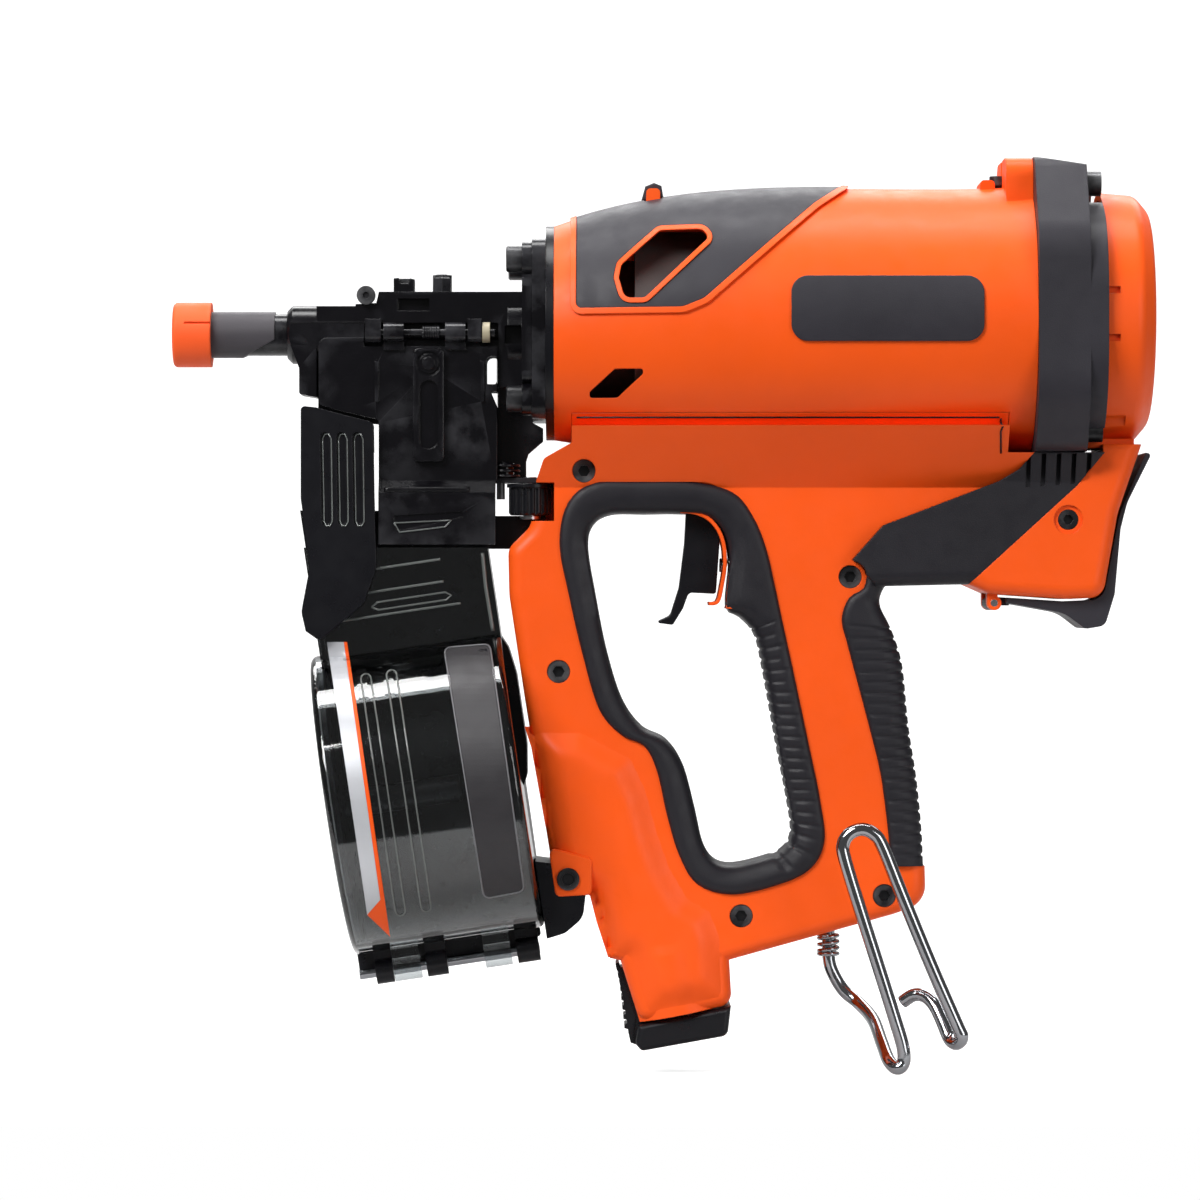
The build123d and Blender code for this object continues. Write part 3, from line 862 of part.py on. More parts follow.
def build_magazine():
    outer, inner = drum_outer(), drum_inner()
    walls = outer - inner
    pin = rod_x(-34.5, 32.0, MAG_PIN_R, 0, MAG_HINGE_V)
    running = rod_x(-40, 40, MAG_PIN_R + RUN, 0, MAG_HINGE_V)
    keep("cover_hinge_pin", in_magazine(pin))

    canister = walls & block(-60, 60, SPLIT, 80, -70, 130)
    canister += knuckle_row(CANISTER_KNUCKLES, 1) - pin - inner
    back = DRUM_HALF
    lobe = slab(outline((back - 1, 54), (back + 1.8, 48, 8), (back + 3.3, 38, 12), (back + 3.3, 12, 12),
                        (back + 1.8, 1, 8), (back - 1, -5)), SPLIT, 26)
    canister += lobe
    canister = in_magazine(canister) & block(0, 200, -80, 80, -300, CANISTER_TOP_Z)
    canister += block(76.5, 96, NECK_FAR_Y - 1, NOSE_FAR_Y + 1.6, -76, CANISTER_TOP_Z - 0.2)
    canister += block(76.5, 96, NOSE_FAR_Y, NOSE_FAR_Y + 1.6, -76, -52)
    keep("canister", canister)

    cover = walls & block(-60, 60, -80, -SPLIT, -70, 130)
    cover += (knuckle_row(COVER_KNUCKLES, -1) - inner)
    cover -= running
    for low_u, high_u in COVER_RIBS:
        cover += rib_on_drum(low_u, high_u)
    cover = in_magazine(cover) & block(0, 200, -80, 80, -300, COVER_TOP_Z)
    keep("magazine_cover", cover)

    disc = rod_x(-32.6, -30.6, DRUM_R - 5) + (rod_x(-33.0, -30.6, 9) & block(-40, 0, 0.5, 20, -20, 20))
    disc += rod_x(-30.6, 12, 5)
    keep("coil_platform", in_magazine(disc))

    grip_face = outline((47.2, -26.4, 1.5), (52.8, -27.0), (62.4, -29.6), (73.4, -32.4, 2), (73.8, -60), (74.6, -85, 4),
                        (70, -98, 6), (54, -111.5, 2), (49.0, -108), (47.4, -101, 6), (50.6, -84, 10),
                        (47.2, -60, 10))
    grip = slab(grip_face, GRIP_NEAR_Y, GRIP_FAR_Y) - in_magazine(outer)
    for x in (55.8, 61.6, 67.4):
        groove = outline((x - 1.5, -36, 1.4), (x + 1.5, -36, 1.4), (x + 2.0, -69.5, 1.4), (x - 1.0, -69.5, 1.4))
        grip -= slab(groove, GRIP_NEAR_Y - 1, GRIP_NEAR_Y + 1.2)
    keep("cover_grip", grip & block(0, 200, -80, -SPLIT, -300, 0))

    # brackets that tie the canister to the handle
    lower = slab(outline((131.7, -191.0), (151.4, -193.6, 3), (149.4, -211.5, 7), (143, -217.0, 6), (134.6, -219.6, 2)),
                 -21.5, 21.5)
    lower -= both_sides(outline(*FRAME), GRIP_HALF)
    lower -= in_magazine(block(20, DRUM_HALF, -80, 80, -80, 0) + block(20, DRUM_HALF + 0.4, -80, SPLIT, -80, 0))
    lower -= screw_hole(*BRACKET_SCREW)
    upper = slab(outline((105, -66, 1), (136, -66), (136, -78), (105, -78, 1)), 1, NECK_FAR_Y)
    upper -= in_magazine(block(0, DRUM_HALF, -80, 80, 0, 130))
    keep("canister_brackets", Compound([lower, upper]))


for build in (build_probe, build_nose, build_door, build_depth_stop, build_barrel, build_head, build_drive,
              build_housing, build_screws, build_trigger, build_bay, build_battery, build_hook, build_magazine):
    build()
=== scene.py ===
"""Studio scene of the cordless coil nailer: materials, small detail pieces, floor, light and camera."""
import json
import math

import bmesh
import bpy
from mathutils import Matrix, Vector
from mathutils.bvhtree import BVHTree


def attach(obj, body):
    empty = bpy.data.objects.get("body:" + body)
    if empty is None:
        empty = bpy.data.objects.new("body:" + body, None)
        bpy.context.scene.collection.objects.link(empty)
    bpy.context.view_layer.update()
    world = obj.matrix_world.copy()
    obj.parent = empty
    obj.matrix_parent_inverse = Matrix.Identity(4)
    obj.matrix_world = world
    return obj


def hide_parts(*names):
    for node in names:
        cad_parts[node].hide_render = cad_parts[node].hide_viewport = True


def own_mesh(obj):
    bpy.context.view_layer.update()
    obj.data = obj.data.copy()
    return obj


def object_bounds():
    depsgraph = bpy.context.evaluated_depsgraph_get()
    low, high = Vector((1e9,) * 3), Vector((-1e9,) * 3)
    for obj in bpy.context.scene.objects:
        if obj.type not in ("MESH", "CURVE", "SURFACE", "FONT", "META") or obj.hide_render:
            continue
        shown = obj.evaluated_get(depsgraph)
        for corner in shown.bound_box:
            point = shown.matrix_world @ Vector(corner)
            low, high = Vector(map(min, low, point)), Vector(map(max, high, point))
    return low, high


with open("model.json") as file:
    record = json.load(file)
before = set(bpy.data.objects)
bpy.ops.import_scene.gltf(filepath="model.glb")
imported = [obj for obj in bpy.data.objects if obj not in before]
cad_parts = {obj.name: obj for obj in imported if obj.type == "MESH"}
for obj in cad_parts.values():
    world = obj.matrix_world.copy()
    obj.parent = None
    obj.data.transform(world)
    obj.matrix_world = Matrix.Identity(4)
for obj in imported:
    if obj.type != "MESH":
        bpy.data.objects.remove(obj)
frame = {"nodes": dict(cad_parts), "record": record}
nodes = frame["nodes"]
cad_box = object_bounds()
MM = 0.001
AIM = (0.1555, 0.0, -0.0967)    # what the camera looks at, in metres
CAMERA_DISTANCE = 2.0


# ---------------------------------------------------------------- materials
def tree_of(name):
    """A new material with its node tree, its shader and a helper that adds nodes."""
    mat = bpy.data.materials.new(name)
    mat.use_nodes = True
    nodes_in = mat.node_tree.nodes
    shader = nodes_in["Principled BSDF"]

    def add(kind, **inputs):
        node = nodes_in.new(kind)
        for key, value in inputs.items():
            node.inputs[key].default_value = value
        return node

    return mat, mat.node_tree.links, shader, add


def noise(links, add, scale, detail=3.0, stretch=(1, 1, 1)):
    """Noise in the object's own space, so it stays put on moving pieces. Scale is per metre."""
    where = add("ShaderNodeTexCoord")
    mapping = add("ShaderNodeMapping", Scale=stretch)
    links.new(where.outputs["Object"], mapping.inputs["Vector"])
    texture = add("ShaderNodeTexNoise", Scale=scale, Detail=detail)
    links.new(mapping.outputs["Vector"], texture.inputs["Vector"])
    return texture.outputs["Fac"]


def spread(links, add, factor, low, high, start=0.35, end=0.65):
    """A noise factor stretched to the range from low to high."""
    node = add("ShaderNodeMapRange")
    node.inputs["From Min"].default_value = start
    node.inputs["From Max"].default_value = end
    node.inputs["To Min"].default_value = low
    node.inputs["To Max"].default_value = high
    links.new(factor, node.inputs["Value"])
    return node.outputs["Result"]


def tint(links, add, factor, first, second, start=0.35, end=0.65):
    """A colour that wanders between two colours."""
    ramp = add("ShaderNodeValToRGB")
    ramp.color_ramp.elements[0].position = start
    ramp.color_ramp.elements[1].position = end
    ramp.color_ramp.elements[0].color = (*first, 1)
    ramp.color_ramp.elements[1].color = (*second, 1)
    links.new(factor, ramp.inputs["Fac"])
    return ramp.outputs["Color"]


def worn_edges(links, add, base, bright, amount):
    """The base colour with a thin lighter line where an edge has been rubbed."""
    geometry = add("ShaderNodeNewGeometry")
    edge = spread(links, add, geometry.outputs["Pointiness"], 0, amount, 0.53, 0.62)
    patchy = noise(links, add, 90, 4)
    product = add("ShaderNodeMath")
    product.operation = "MULTIPLY"
    links.new(edge, product.inputs[0])
    links.new(spread(links, add, patchy, 0, 1, 0.42, 0.6), product.inputs[1])
    mix = add("ShaderNodeMix")
    mix.data_type = "RGBA"
    links.new(product.outputs[0], mix.inputs["Factor"])
    links.new(base, mix.inputs["A"])
    mix.inputs["B"].default_value = (*bright, 1)
    return mix.outputs["Result"]


def relief(links, add, shader, grain, depth, soften, stretch=(1, 1, 1)):
    """Fine surface grain over softly rounded edges. Grain is cells per metre, depth and soften are metres."""
    bevel = add("ShaderNodeBevel", Radius=soften)
    bevel.samples = 4
    bump = add("ShaderNodeBump", Strength=1.0, Distance=depth)
    links.new(noise(links, add, grain, 2, stretch), bump.inputs["Height"])
    links.new(bevel.outputs["Normal"], bump.inputs["Normal"])
    links.new(bump.outputs["Normal"], shader.inputs["Normal"])


def finish_of(name, colour, rough, metal=0.0, vary=0.12, grain=2600, depth=0.00003, soften=0.0004,
              specular=0.5, coat=0.0, wear=None, stretch=(1, 1, 1)):
    """A moulded, painted or machined surface: wandering colour and gloss, grain and rounded edges."""
    mat, links, shader, add = tree_of(name)
    darker = tuple(c * (1 - vary) for c in colour)
    lighter = tuple(min(c * (1 + vary), 1) for c in colour)
    base = tint(links, add, noise(links, add, 24, 4, stretch), darker, lighter)
    if wear:
        base = worn_edges(links, add, base, wear[0], wear[1])
    links.new(base, shader.inputs["Base Color"])
    gloss = noise(links, add, 160, 5, stretch)
    links.new(spread(links, add, gloss, rough * 0.88, min(rough * 1.12, 1)), shader.inputs["Roughness"])
    shader.inputs["Metallic"].default_value = metal
    shader.inputs["Specular IOR Level"].default_value = specular
    shader.inputs["Coat Weight"].default_value = coat
    shader.inputs["Coat Roughness"].default_value = 0.2
    relief(links, add, shader, grain, depth, soften, stretch)
    mat.diffuse_color = (*colour, 1)
    return mat


def clear_of(name, colour, rough):
    """Moulded clear plastic with faint flow lines.

    A thin wall hardly bends light, so its own index is low, and a coat gives it the gloss of plastic.
    """
    mat, links, shader, add = tree_of(name)
    shader.inputs["Base Color"].default_value = (*colour, 1)
    flow = noise(links, add, 40, 3, (1, 1, 0.2))
    links.new(spread(links, add, flow, rough * 0.6, rough * 1.6), shader.inputs["Roughness"])
    shader.inputs["Transmission Weight"].default_value = 1.0
    shader.inputs["IOR"].default_value = 1.08
    shader.inputs["Coat Weight"].default_value = 1.0
    shader.inputs["Coat IOR"].default_value = 1.6
    shader.inputs["Coat Roughness"].default_value = 0.04
    bump = add("ShaderNodeBump", Strength=0.5, Distance=0.0002)
    links.new(noise(links, add, 55, 2, (1, 1, 0.35)), bump.inputs["Height"])
    links.new(bump.outputs["Normal"], shader.inputs["Normal"])
    mat.diffuse_color = (*colour, 0.4)
    return mat


ORANGE = (0.93, 0.100, 0.008)
BLACK = (0.006, 0.006, 0.008)
CHARCOAL = (0.027, 0.025, 0.032)
MATERIALS = {
    "orange_housing": finish_of("orange_moulding", ORANGE, 0.42, vary=0.03, grain=3400, depth=0.00002,
                                soften=0.0006, specular=0.22),
    "dark_plastic": finish_of("charcoal_moulding", CHARCOAL, 0.50, vary=0.08, grain=3000, depth=0.00005,
                              soften=0.0006, specular=0.30),
    "black_plastic": finish_of("black_moulding", BLACK, 0.30, vary=0.15, grain=2800, depth=0.00002,
                               soften=0.0005, specular=0.28),
    "rubber": finish_of("overmould_rubber", (0.013, 0.012, 0.016), 0.50, vary=0.10, grain=2600,
                        depth=0.00006, soften=0.0007, specular=0.30),
    "black_metal": finish_of("black_enamel", (0.0035, 0.0032, 0.0045), 0.22, vary=0.1, grain=1100,
                             depth=0.00003, soften=0.0005, specular=0.32, wear=((0.10, 0.10, 0.11), 0.25)),
    "dark_steel": finish_of("phosphated_steel", (0.050, 0.047, 0.052), 0.46, metal=0.35, vary=0.14,
                            grain=1500, depth=0.00005, soften=0.0004, wear=((0.3, 0.3, 0.31), 0.3)),
    "black_screws": finish_of("black_oxide", (0.010, 0.010, 0.012), 0.34, metal=0.3, vary=0.2, grain=1800,
                              depth=0.00002, soften=0.0003, wear=((0.25, 0.25, 0.26), 0.4)),
    "steel": finish_of("ground_steel", (0.50, 0.50, 0.51), 0.30, metal=1.0, vary=0.08, grain=700,
                       depth=0.00002, soften=0.0002, stretch=(0.2, 1, 1)),
    "chrome": finish_of("polished_chrome", (0.36, 0.37, 0.39), 0.10, metal=1.0, vary=0.04, grain=300,
                        depth=0.00002, soften=0.0002),
    "aluminium": finish_of("cast_aluminium", (0.30, 0.28, 0.28), 0.46, metal=1.0, vary=0.08, grain=1400,
                           depth=0.00005, soften=0.0003),
    "beige_plastic": finish_of("natural_nylon", (0.40, 0.35, 0.24), 0.5, vary=0.08, grain=1800,
                               depth=0.00003, soften=0.0003),
    "brass": finish_of("turned_brass", (0.70, 0.50, 0.20), 0.3, metal=1.0, vary=0.08, grain=900,
                       depth=0.00002, soften=0.0002),
    "soft_orange": finish_of("soft_orange_rubber", (0.90, 0.105, 0.020), 0.55, vary=0.05, grain=2200,
                             depth=0.00005, soften=0.0008, specular=0.25),
    "smoked_clear": clear_of("smoked_clear_plastic", (0.50, 0.53, 0.54), 0.03),
}
# finishes that no CAD slot names
SILVER = finish_of("silver_film", (0.55, 0.56, 0.59), 0.36, metal=0.25, vary=0.04, grain=2000, depth=0.00001)
LABEL = finish_of("label_film", (0.022, 0.020, 0.023), 0.5, vary=0.08, grain=2600, depth=0.00003)
BORDER = finish_of("label_border", (0.16, 0.16, 0.17), 0.45, vary=0.06, grain=2600, depth=0.00002)
# the ridges' lighter grey is a painted glint: it stands for the highlights along the moulded lines and edges
# that the beads trace
GLINT_RIDGE = finish_of("ridge_painted_glint", (0.11, 0.12, 0.115), 0.16, vary=0.3, grain=900, depth=0.00002, specular=0.8)
SHEATH = finish_of("sheath_nylon", (0.060, 0.055, 0.062), 0.55, vary=0.06, grain=2400, depth=0.00004,
                   specular=0.25)
LINER = finish_of("cylinder_casting", (0.070, 0.058, 0.056), 0.50, metal=0.3, vary=0.1, grain=1400,
                  depth=0.00005)

# every CAD node has its slot's material, but for three that the photograph shows otherwise
slot_of = {part["node"]: part["material_slot"] for part in frame["record"]["subparts"]}
for name, obj in nodes.items():
    obj.data.materials.clear()
    obj.data.materials.append(MATERIALS[slot_of[name]])
nodes["fuel_bay_band"].data.materials[0] = MATERIALS["rubber"]
nodes["cylinder"].data.materials[0] = LINER
nodes["probe_sheath"].data.materials[0] = SHEATH


# ---------------------------------------------------------------- building pieces
def placed(name, mesh, material, body):
    """An object with a mesh, riding on a CAD body."""
    obj = bpy.data.objects.new(name, mesh)
    bpy.context.scene.collection.objects.link(obj)
    mesh.materials.append(material)
    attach(obj, body)
    return obj


def piece(name, verts, faces, material, body, slot, smooth=True):
    """A piece from points in metres, riding on a CAD body."""
    mesh = bpy.data.meshes.new(name)
    mesh.from_pydata(verts, [], faces)
    mesh.validate()
    for polygon in mesh.polygons:
        polygon.use_smooth = smooth
    return placed(name, mesh, material, body)


def carved_piece(name, mesh, material, body):
    """A piece from a bmesh in mm, which is used up, riding on a CAD body."""
    data = bpy.data.meshes.new(name)
    mesh.to_mesh(data)
    mesh.free()
    data.transform(Matrix.Scale(MM, 4))
    return placed(name, data, material, body)


def across(along):
    """Two directions at right angles to a direction and to each other."""
    guess = Vector((0, 0, 1)) if abs(along.z) < 0.9 else Vector((1, 0, 0))
    side = along.cross(guess).normalized()
    return side, along.cross(side)


def ring_of(centre, side, up, radius, sides):
    """Points on a circle round a centre, in the plane of two directions."""
    points = []
    for k in range(sides):
        angle = 2 * math.pi * k / sides
        points.append(centre + (side * math.cos(angle) + up * math.sin(angle)) * radius)
    return points


def skin(rings, sides, start=0, looped=False):
    """Faces between rings of points. The rings close into a loop, or else the ends have flat caps."""
    faces = []
    for i in range(rings if looped else rings - 1):
        here = start + i * sides
        ahead = start + (i + 1) % rings * sides
        for k in range(sides):
            turn = (k + 1) % sides
            faces.append((here + k, here + turn, ahead + turn, ahead + k))
    if not looped:
        last = start + (rings - 1) * sides
        faces.append(tuple(start + k for k in reversed(range(sides))))
        faces.append(tuple(range(last, last + sides)))
    return faces


def tube(points, radius, sides=10):
    """Vertices and faces of a round tube along points, with closed ends."""
    verts = []
    side = None
    for i, point in enumerate(points):
        ahead = points[min(i + 1, len(points) - 1)]
        behind = points[max(i - 1, 0)]
        along = (ahead - behind).normalized()
        if side is None:
            side = across(along)[0]
        # each ring's direction comes from the one before it, so the tube doesn't twist
        side = (side - along * side.dot(along)).normalized()
        verts += ring_of(point, side, along.cross(side), radius, sides)
    return verts, skin(len(points), sides)


def turned(name, centre, axis, profile, material, body, slot, sides=28):
    """A turned piece: a profile of (radius, height) pairs round an axis through a centre. Sizes are in mm."""
    along = Vector(axis)
    side, up = across(along)
    verts = []
    for radius, height in profile:
        verts += [spot * MM for spot in ring_of(Vector(centre) + along * height, side, up, radius, sides)]
    return piece(name, verts, skin(len(profile), sides), material, body, slot, False)


def spline(points, place, closed):
    """A smooth curve through the points; place runs from 0 to the number of spans."""
    count = len(points)
    i = int(place)
    t = place - i

    def at(k):
        return Vector(points[k % count] if closed else points[min(max(k, 0), count - 1)])

    a, b, c, d = at(i - 1), at(i), at(i + 1), at(i + 2)
    return 0.5 * (2 * b + (c - a) * t + (2 * a - 5 * b + 4 * c - d) * t * t
                  + (3 * b - a - 3 * c + d) * t ** 3)


RAY_START_Y = -0.2              # nearer than every piece, in metres
surfaces = {}


def on_surface(node, x, z):
    """The near-side height (y, in mm) of a CAD node's surface over a point (x, z) in mm, or None."""
    if node not in surfaces:
        mesh = nodes[node].data
        surfaces[node] = BVHTree.FromPolygons([v.co for v in mesh.vertices],
                                              [polygon.vertices for polygon in mesh.polygons])
    place = surfaces[node].ray_cast(Vector((x * MM, RAY_START_Y, z * MM)), Vector((0, 1, 0)))[0]
    return place.y / MM if place else None


def carried(x, z, y):
    """Where the camera's ray through (x, 0, z) passes the depth y, in mm."""
    share = 1 + y * MM / CAMERA_DISTANCE
    return AIM[0] / MM + (x - AIM[0] / MM) * share, AIM[2] / MM + (z - AIM[2] / MM) * share


def rounded(corners, radius, steps=5):
    """Corners (x, z) with each one rounded by a radius."""
    result = []
    count = len(corners)
    for i in range(count):
        here = Vector(corners[i])
        before = (Vector(corners[i - 1]) - here).normalized()
        after = (Vector(corners[(i + 1) % count]) - here).normalized()
        half = before.angle(after) / 2
        reach = radius / math.tan(half)
        start, end = here + before * reach, here + after * reach
        for k in range(steps + 1):
            t = k / steps
            result.append(tuple(start.lerp(here, t).lerp(here.lerp(end, t), t)))
    return result


GRID_STEP = 2.0                 # mm between the cuts that let a flat outline follow a curved surface


def gridded(corners, weld, clear_steps=0):
    """A flat bmesh with the outline (x, z), cut into a grid that stops some steps short of the far sides.

    Points of the grid closer than weld are joined. Sizes are in mm.
    """
    mesh = bmesh.new()
    mesh.faces.new([mesh.verts.new((x, 0, z)) for x, z in corners])
    for axis, normal in enumerate((Vector((1, 0, 0)), Vector((0, 0, 1)))):
        low = min(corner[axis] for corner in corners)
        high = max(corner[axis] for corner in corners)
        for i in range(1, int((high - low) / GRID_STEP) + 1 - clear_steps):
            parts = mesh.verts[:] + mesh.edges[:] + mesh.faces[:]
            place = normal * (low + i * GRID_STEP)
            bmesh.ops.bisect_plane(mesh, geom=parts, plane_co=place, plane_no=normal)
    bmesh.ops.remove_doubles(mesh, verts=mesh.verts, dist=weld)
    return mesh


def face_near_side(mesh):
    """Turns every face of an open sheet towards the near side."""
    for face in mesh.faces:
        if face.normal.y > 0:
            face.normal_flip()


def extruded_verts(mesh, faces):
    """The new vertices after extruding faces of a bmesh."""
    extruded = bmesh.ops.extrude_face_region(mesh, geom=faces)
    return [item for item in extruded["geom"] if isinstance(item, bmesh.types.BMVert)]


FILM_LIFT, FILM_T = 0.05, 0.2   # mm between a film and the surface, and the film's thickness
OFF_SURFACE_Y = -20             # the depth used for a film's corner that misses the surface, in mm


def film(name, corners, node, material, body):
    """A thin film that lies on a CAD node's near side, with the side outline (x, z) in mm."""
    mesh = gridded(corners, weld=1e-4, clear_steps=1)
    for vert in mesh.verts:
        # the outline is as seen in the plane y = 0, so it is carried along the camera's rays to the surface
        y = on_surface(node, vert.co.x, vert.co.z) or OFF_SURFACE_Y
        x, z = carried(vert.co.x, vert.co.z, y)
        vert.co = Vector((x, (on_surface(node, x, z) or y) - FILM_LIFT, z))
    face_near_side(mesh)
    for vert in extruded_verts(mesh, mesh.faces[:]):
        vert.co.y -= FILM_T
    bmesh.ops.recalc_face_normals(mesh, faces=mesh.faces)
    return carved_piece(name, mesh, material, body)


BEAD_STEP = 1.5                 # mm between the points of a bead


def bead(name, path, radius, sunk, node, material, body, slot, closed=False):
    """A half round rib that follows a CAD node's near side along a path (x, z). Sizes are in mm."""
    corners = [Vector((x, z)) for x, z in path]
    if closed:
        corners.append(corners[0])
    points = []
    for start, end in zip(corners, corners[1:]):
        count = max(int((end - start).length / BEAD_STEP), 1)
        for i in range(count):
            points.append(start.lerp(end, i / count))
    points.append(corners[-1])
    centres = []
    for point in points:
        y = on_surface(node, point.x, point.y)
        if y is not None:
            x, z = carried(point.x, point.y, y)
            centres.append(Vector((x, (on_surface(node, x, z) or y) + sunk - radius, z)) * MM)
    verts, faces = tube(centres, radius * MM)
    return piece(name, verts, faces, material, body, slot)


def plate(name, corners, low_y, high_y, soften, material, body, slot):
    """A flat plate from a side outline (x, z) between two depths, with softened edges. Sizes are in mm."""
    mesh = bmesh.new()
    face = mesh.faces.new([mesh.verts.new((x, low_y, z)) for x, z in corners])
    for vert in extruded_verts(mesh, [face]):
        vert.co.y = high_y
    bmesh.ops.recalc_face_normals(mesh, faces=mesh.faces)
    rims = [edge for edge in mesh.edges if abs(edge.verts[0].co.y - edge.verts[1].co.y) < 1e-6]
    bmesh.ops.bevel(mesh, geom=rims, offset=soften, segments=3, affect="EDGES", profile=0.5)
    return carved_piece(name, mesh, material, body)


SWELL_TUCK = 0.4                # how far a swell's rim starts below the surface, in mm
HOUSING_NEAR_Y = -17            # the housing's near side, where a swell's point misses it, in mm


def swell(name, corners, height, soft, node, material, body, slot):
    """A soft raised area on a CAD node's near side, in mm: it rises from its outline (x, z) over a width."""
    spans = [(Vector(corner), Vector(corners[(i + 1) % len(corners)])) for i, corner in enumerate(corners)]
    mesh = gridded(corners, weld=1e-3)
    for vert in mesh.verts:
        spot = Vector((vert.co.x, vert.co.z))
        to_rim = []
        for start, end in spans:
            along = end - start
            share = min(max((spot - start).dot(along) / along.length_squared, 0), 1)
            to_rim.append((spot - start - along * share).length)
        rise = min(min(to_rim) / soft, 1)
        base = on_surface(node, spot.x, spot.y) or HOUSING_NEAR_Y
        vert.co.y = base + SWELL_TUCK - (height + SWELL_TUCK) * rise * rise * (3 - 2 * rise)
    face_near_side(mesh)
    for face in mesh.faces:
        face.smooth = True
    return carved_piece(name, mesh, material, body)


SPRING_STEPS = 18               # points on each turn of a spring
FLAT_TURN = 0.8                 # how much of a spring's first and last turn lies almost flat
FLAT_RISE = 0.12                # the share of the height that rises evenly, flat turns included


def coil_spring(name, start, axis, length, coil_r, wire_r, turns, node, body, slot="steel"):
    """A wound wire spring with closed ends, standing for a CAD spring. Sizes are in mm."""
    along = Vector(axis)
    side, up = across(along)
    count = int(turns * SPRING_STEPS)
    points = []
    for i in range(count + 1):
        share = i / count
        ease = min(max((share * turns - FLAT_TURN) / (turns - 2 * FLAT_TURN), 0), 1)
        height = wire_r + (length - 2 * wire_r) * (FLAT_RISE * share + (1 - FLAT_RISE) * ease)
        angle = 2 * math.pi * turns * share
        ring = (side * math.cos(angle) + up * math.sin(angle)) * coil_r
        points.append((Vector(start) + along * height + ring) * MM)
    verts, faces = tube(points, wire_r * MM, sides=8)
    spring = piece(name, verts, faces, MATERIALS[slot], body, slot)
    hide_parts(node)
    return spring


# ---------------------------------------------------------------- where pieces go
# material, body and slot of the pieces fixed to the tool
BLACK_METAL = (MATERIALS["black_metal"], "tool", "black_metal")
BLACK_PLASTIC = (MATERIALS["black_plastic"], "tool", "black_plastic")
ORANGE_PLASTIC = (MATERIALS["orange_housing"], "tool", "orange_housing")
# node to lie on, material, body and slot of the beads; the beads' grey is a painted glint
ON_COVER = ("magazine_cover", GLINT_RIDGE, "magazine_cover", "smoked_clear")
ON_DOOR = ("nose_door", GLINT_RIDGE, "nose_door", "black_metal")
ON_SHELL = ("handle_shell_left", *BLACK_PLASTIC)


# ---------------------------------------------------------------- overmoulded grips
RIB_PITCH, RIB_DEPTH = 3.9, 0.6
RIBS_FROM_Z, RIBS_TO_Z = -107.0, -190.0
GROOVE_FROM, GROOVE_SLOPE = 0.30, 0.12      # where a groove starts and how fast it deepens, in pitches
LONG_GROOVE, SHORT_GROOVE = 0.82, 0.62      # how far the grooves run in over the band, in band widths
RIBBED_STEP, PLAIN_STEP = 0.42, 1.6         # mm between the sections of a band
GRIP_Y = 17.4                   # the bands' outer edges lie just inside the handle's flat sides
FLAT_SIDE_Y = GRIP_Y + 0.2      # what reaches this far out is the handle's side and not its core
WELL_HALF, WELL_DEPTH = 8, 6.5              # half width and depth of the well that the trigger moves in
CORE_FROM_Y, CORE_COVER = 13, 0.25          # beyond this depth the band covers the hard core by this much
CORE_PROBE = 0.7                # how far round a point the hard core's height is felt, in mm
# the section of a band: how far in from its free edge (mm), and how far from the handle's mid plane (mm)
FREE_EDGE = ((0, 0), (0, 7.2), (0, 13.6), (0.25, 15.2), (0.9, 16.5), (1.8, 17.5), (3.2, 18.4), (5.0, 19.1),
             (6.6, 19.5))
# the same near the seam to the handle: how far in from the seam (mm)
SEAM_EDGE = ((3.2, 19.5), (1.4, 19.3), (0.4, 18.7), (0, GRIP_Y))
FULL_WIDTH = 10.4               # a narrower band has a narrower section


def core_height(x, z):
    """How far from the mid plane the handle's hard core reaches near a point (x, z), in mm."""
    reach = 0
    for shift_x, shift_z in ((0, 0), (CORE_PROBE, 0), (-CORE_PROBE, 0), (0, CORE_PROBE), (0, -CORE_PROBE)):
        for node in ("handle_shell_right", "handle_shell_left"):
            y = on_surface(node, x + shift_x, z + shift_z)
            if y is not None and -FLAT_SIDE_Y < y < 0:
                reach = max(reach, -y)
    return reach


def groove(z):
    """How deep a height z lies in a groove between two ribs, from 0 to 1, and whether it is a long groove."""
    if not RIBS_TO_Z < z < RIBS_FROM_Z:
        return 0.0, False
    count = (RIBS_FROM_Z - z) / RIB_PITCH
    deep = (abs(count % 1 - 0.5) - GROOVE_FROM) / GROOVE_SLOPE
    return min(max(deep, 0.0), 1.0), round(count) % 2 == 0


def band_places(free, closed, ribbed_from_x):
    """Where the sections of a band stand along its free edge, closer together where it has ribs."""
    spans = len(free) if closed else len(free) - 1
    places = []
    for i in range(spans):
        start, end = spline(free, i, closed), spline(free, i + 0.999, closed)
        in_ribs = start.x > ribbed_from_x and min(start.y, end.y) < RIBS_FROM_Z
        steps = max(int((end - start).length / (RIBBED_STEP if in_ribs else PLAIN_STEP)), 3)
        places += [i + k / steps for k in range(steps)]
    if not closed:
        places.append(spans - 1e-6)
    return places


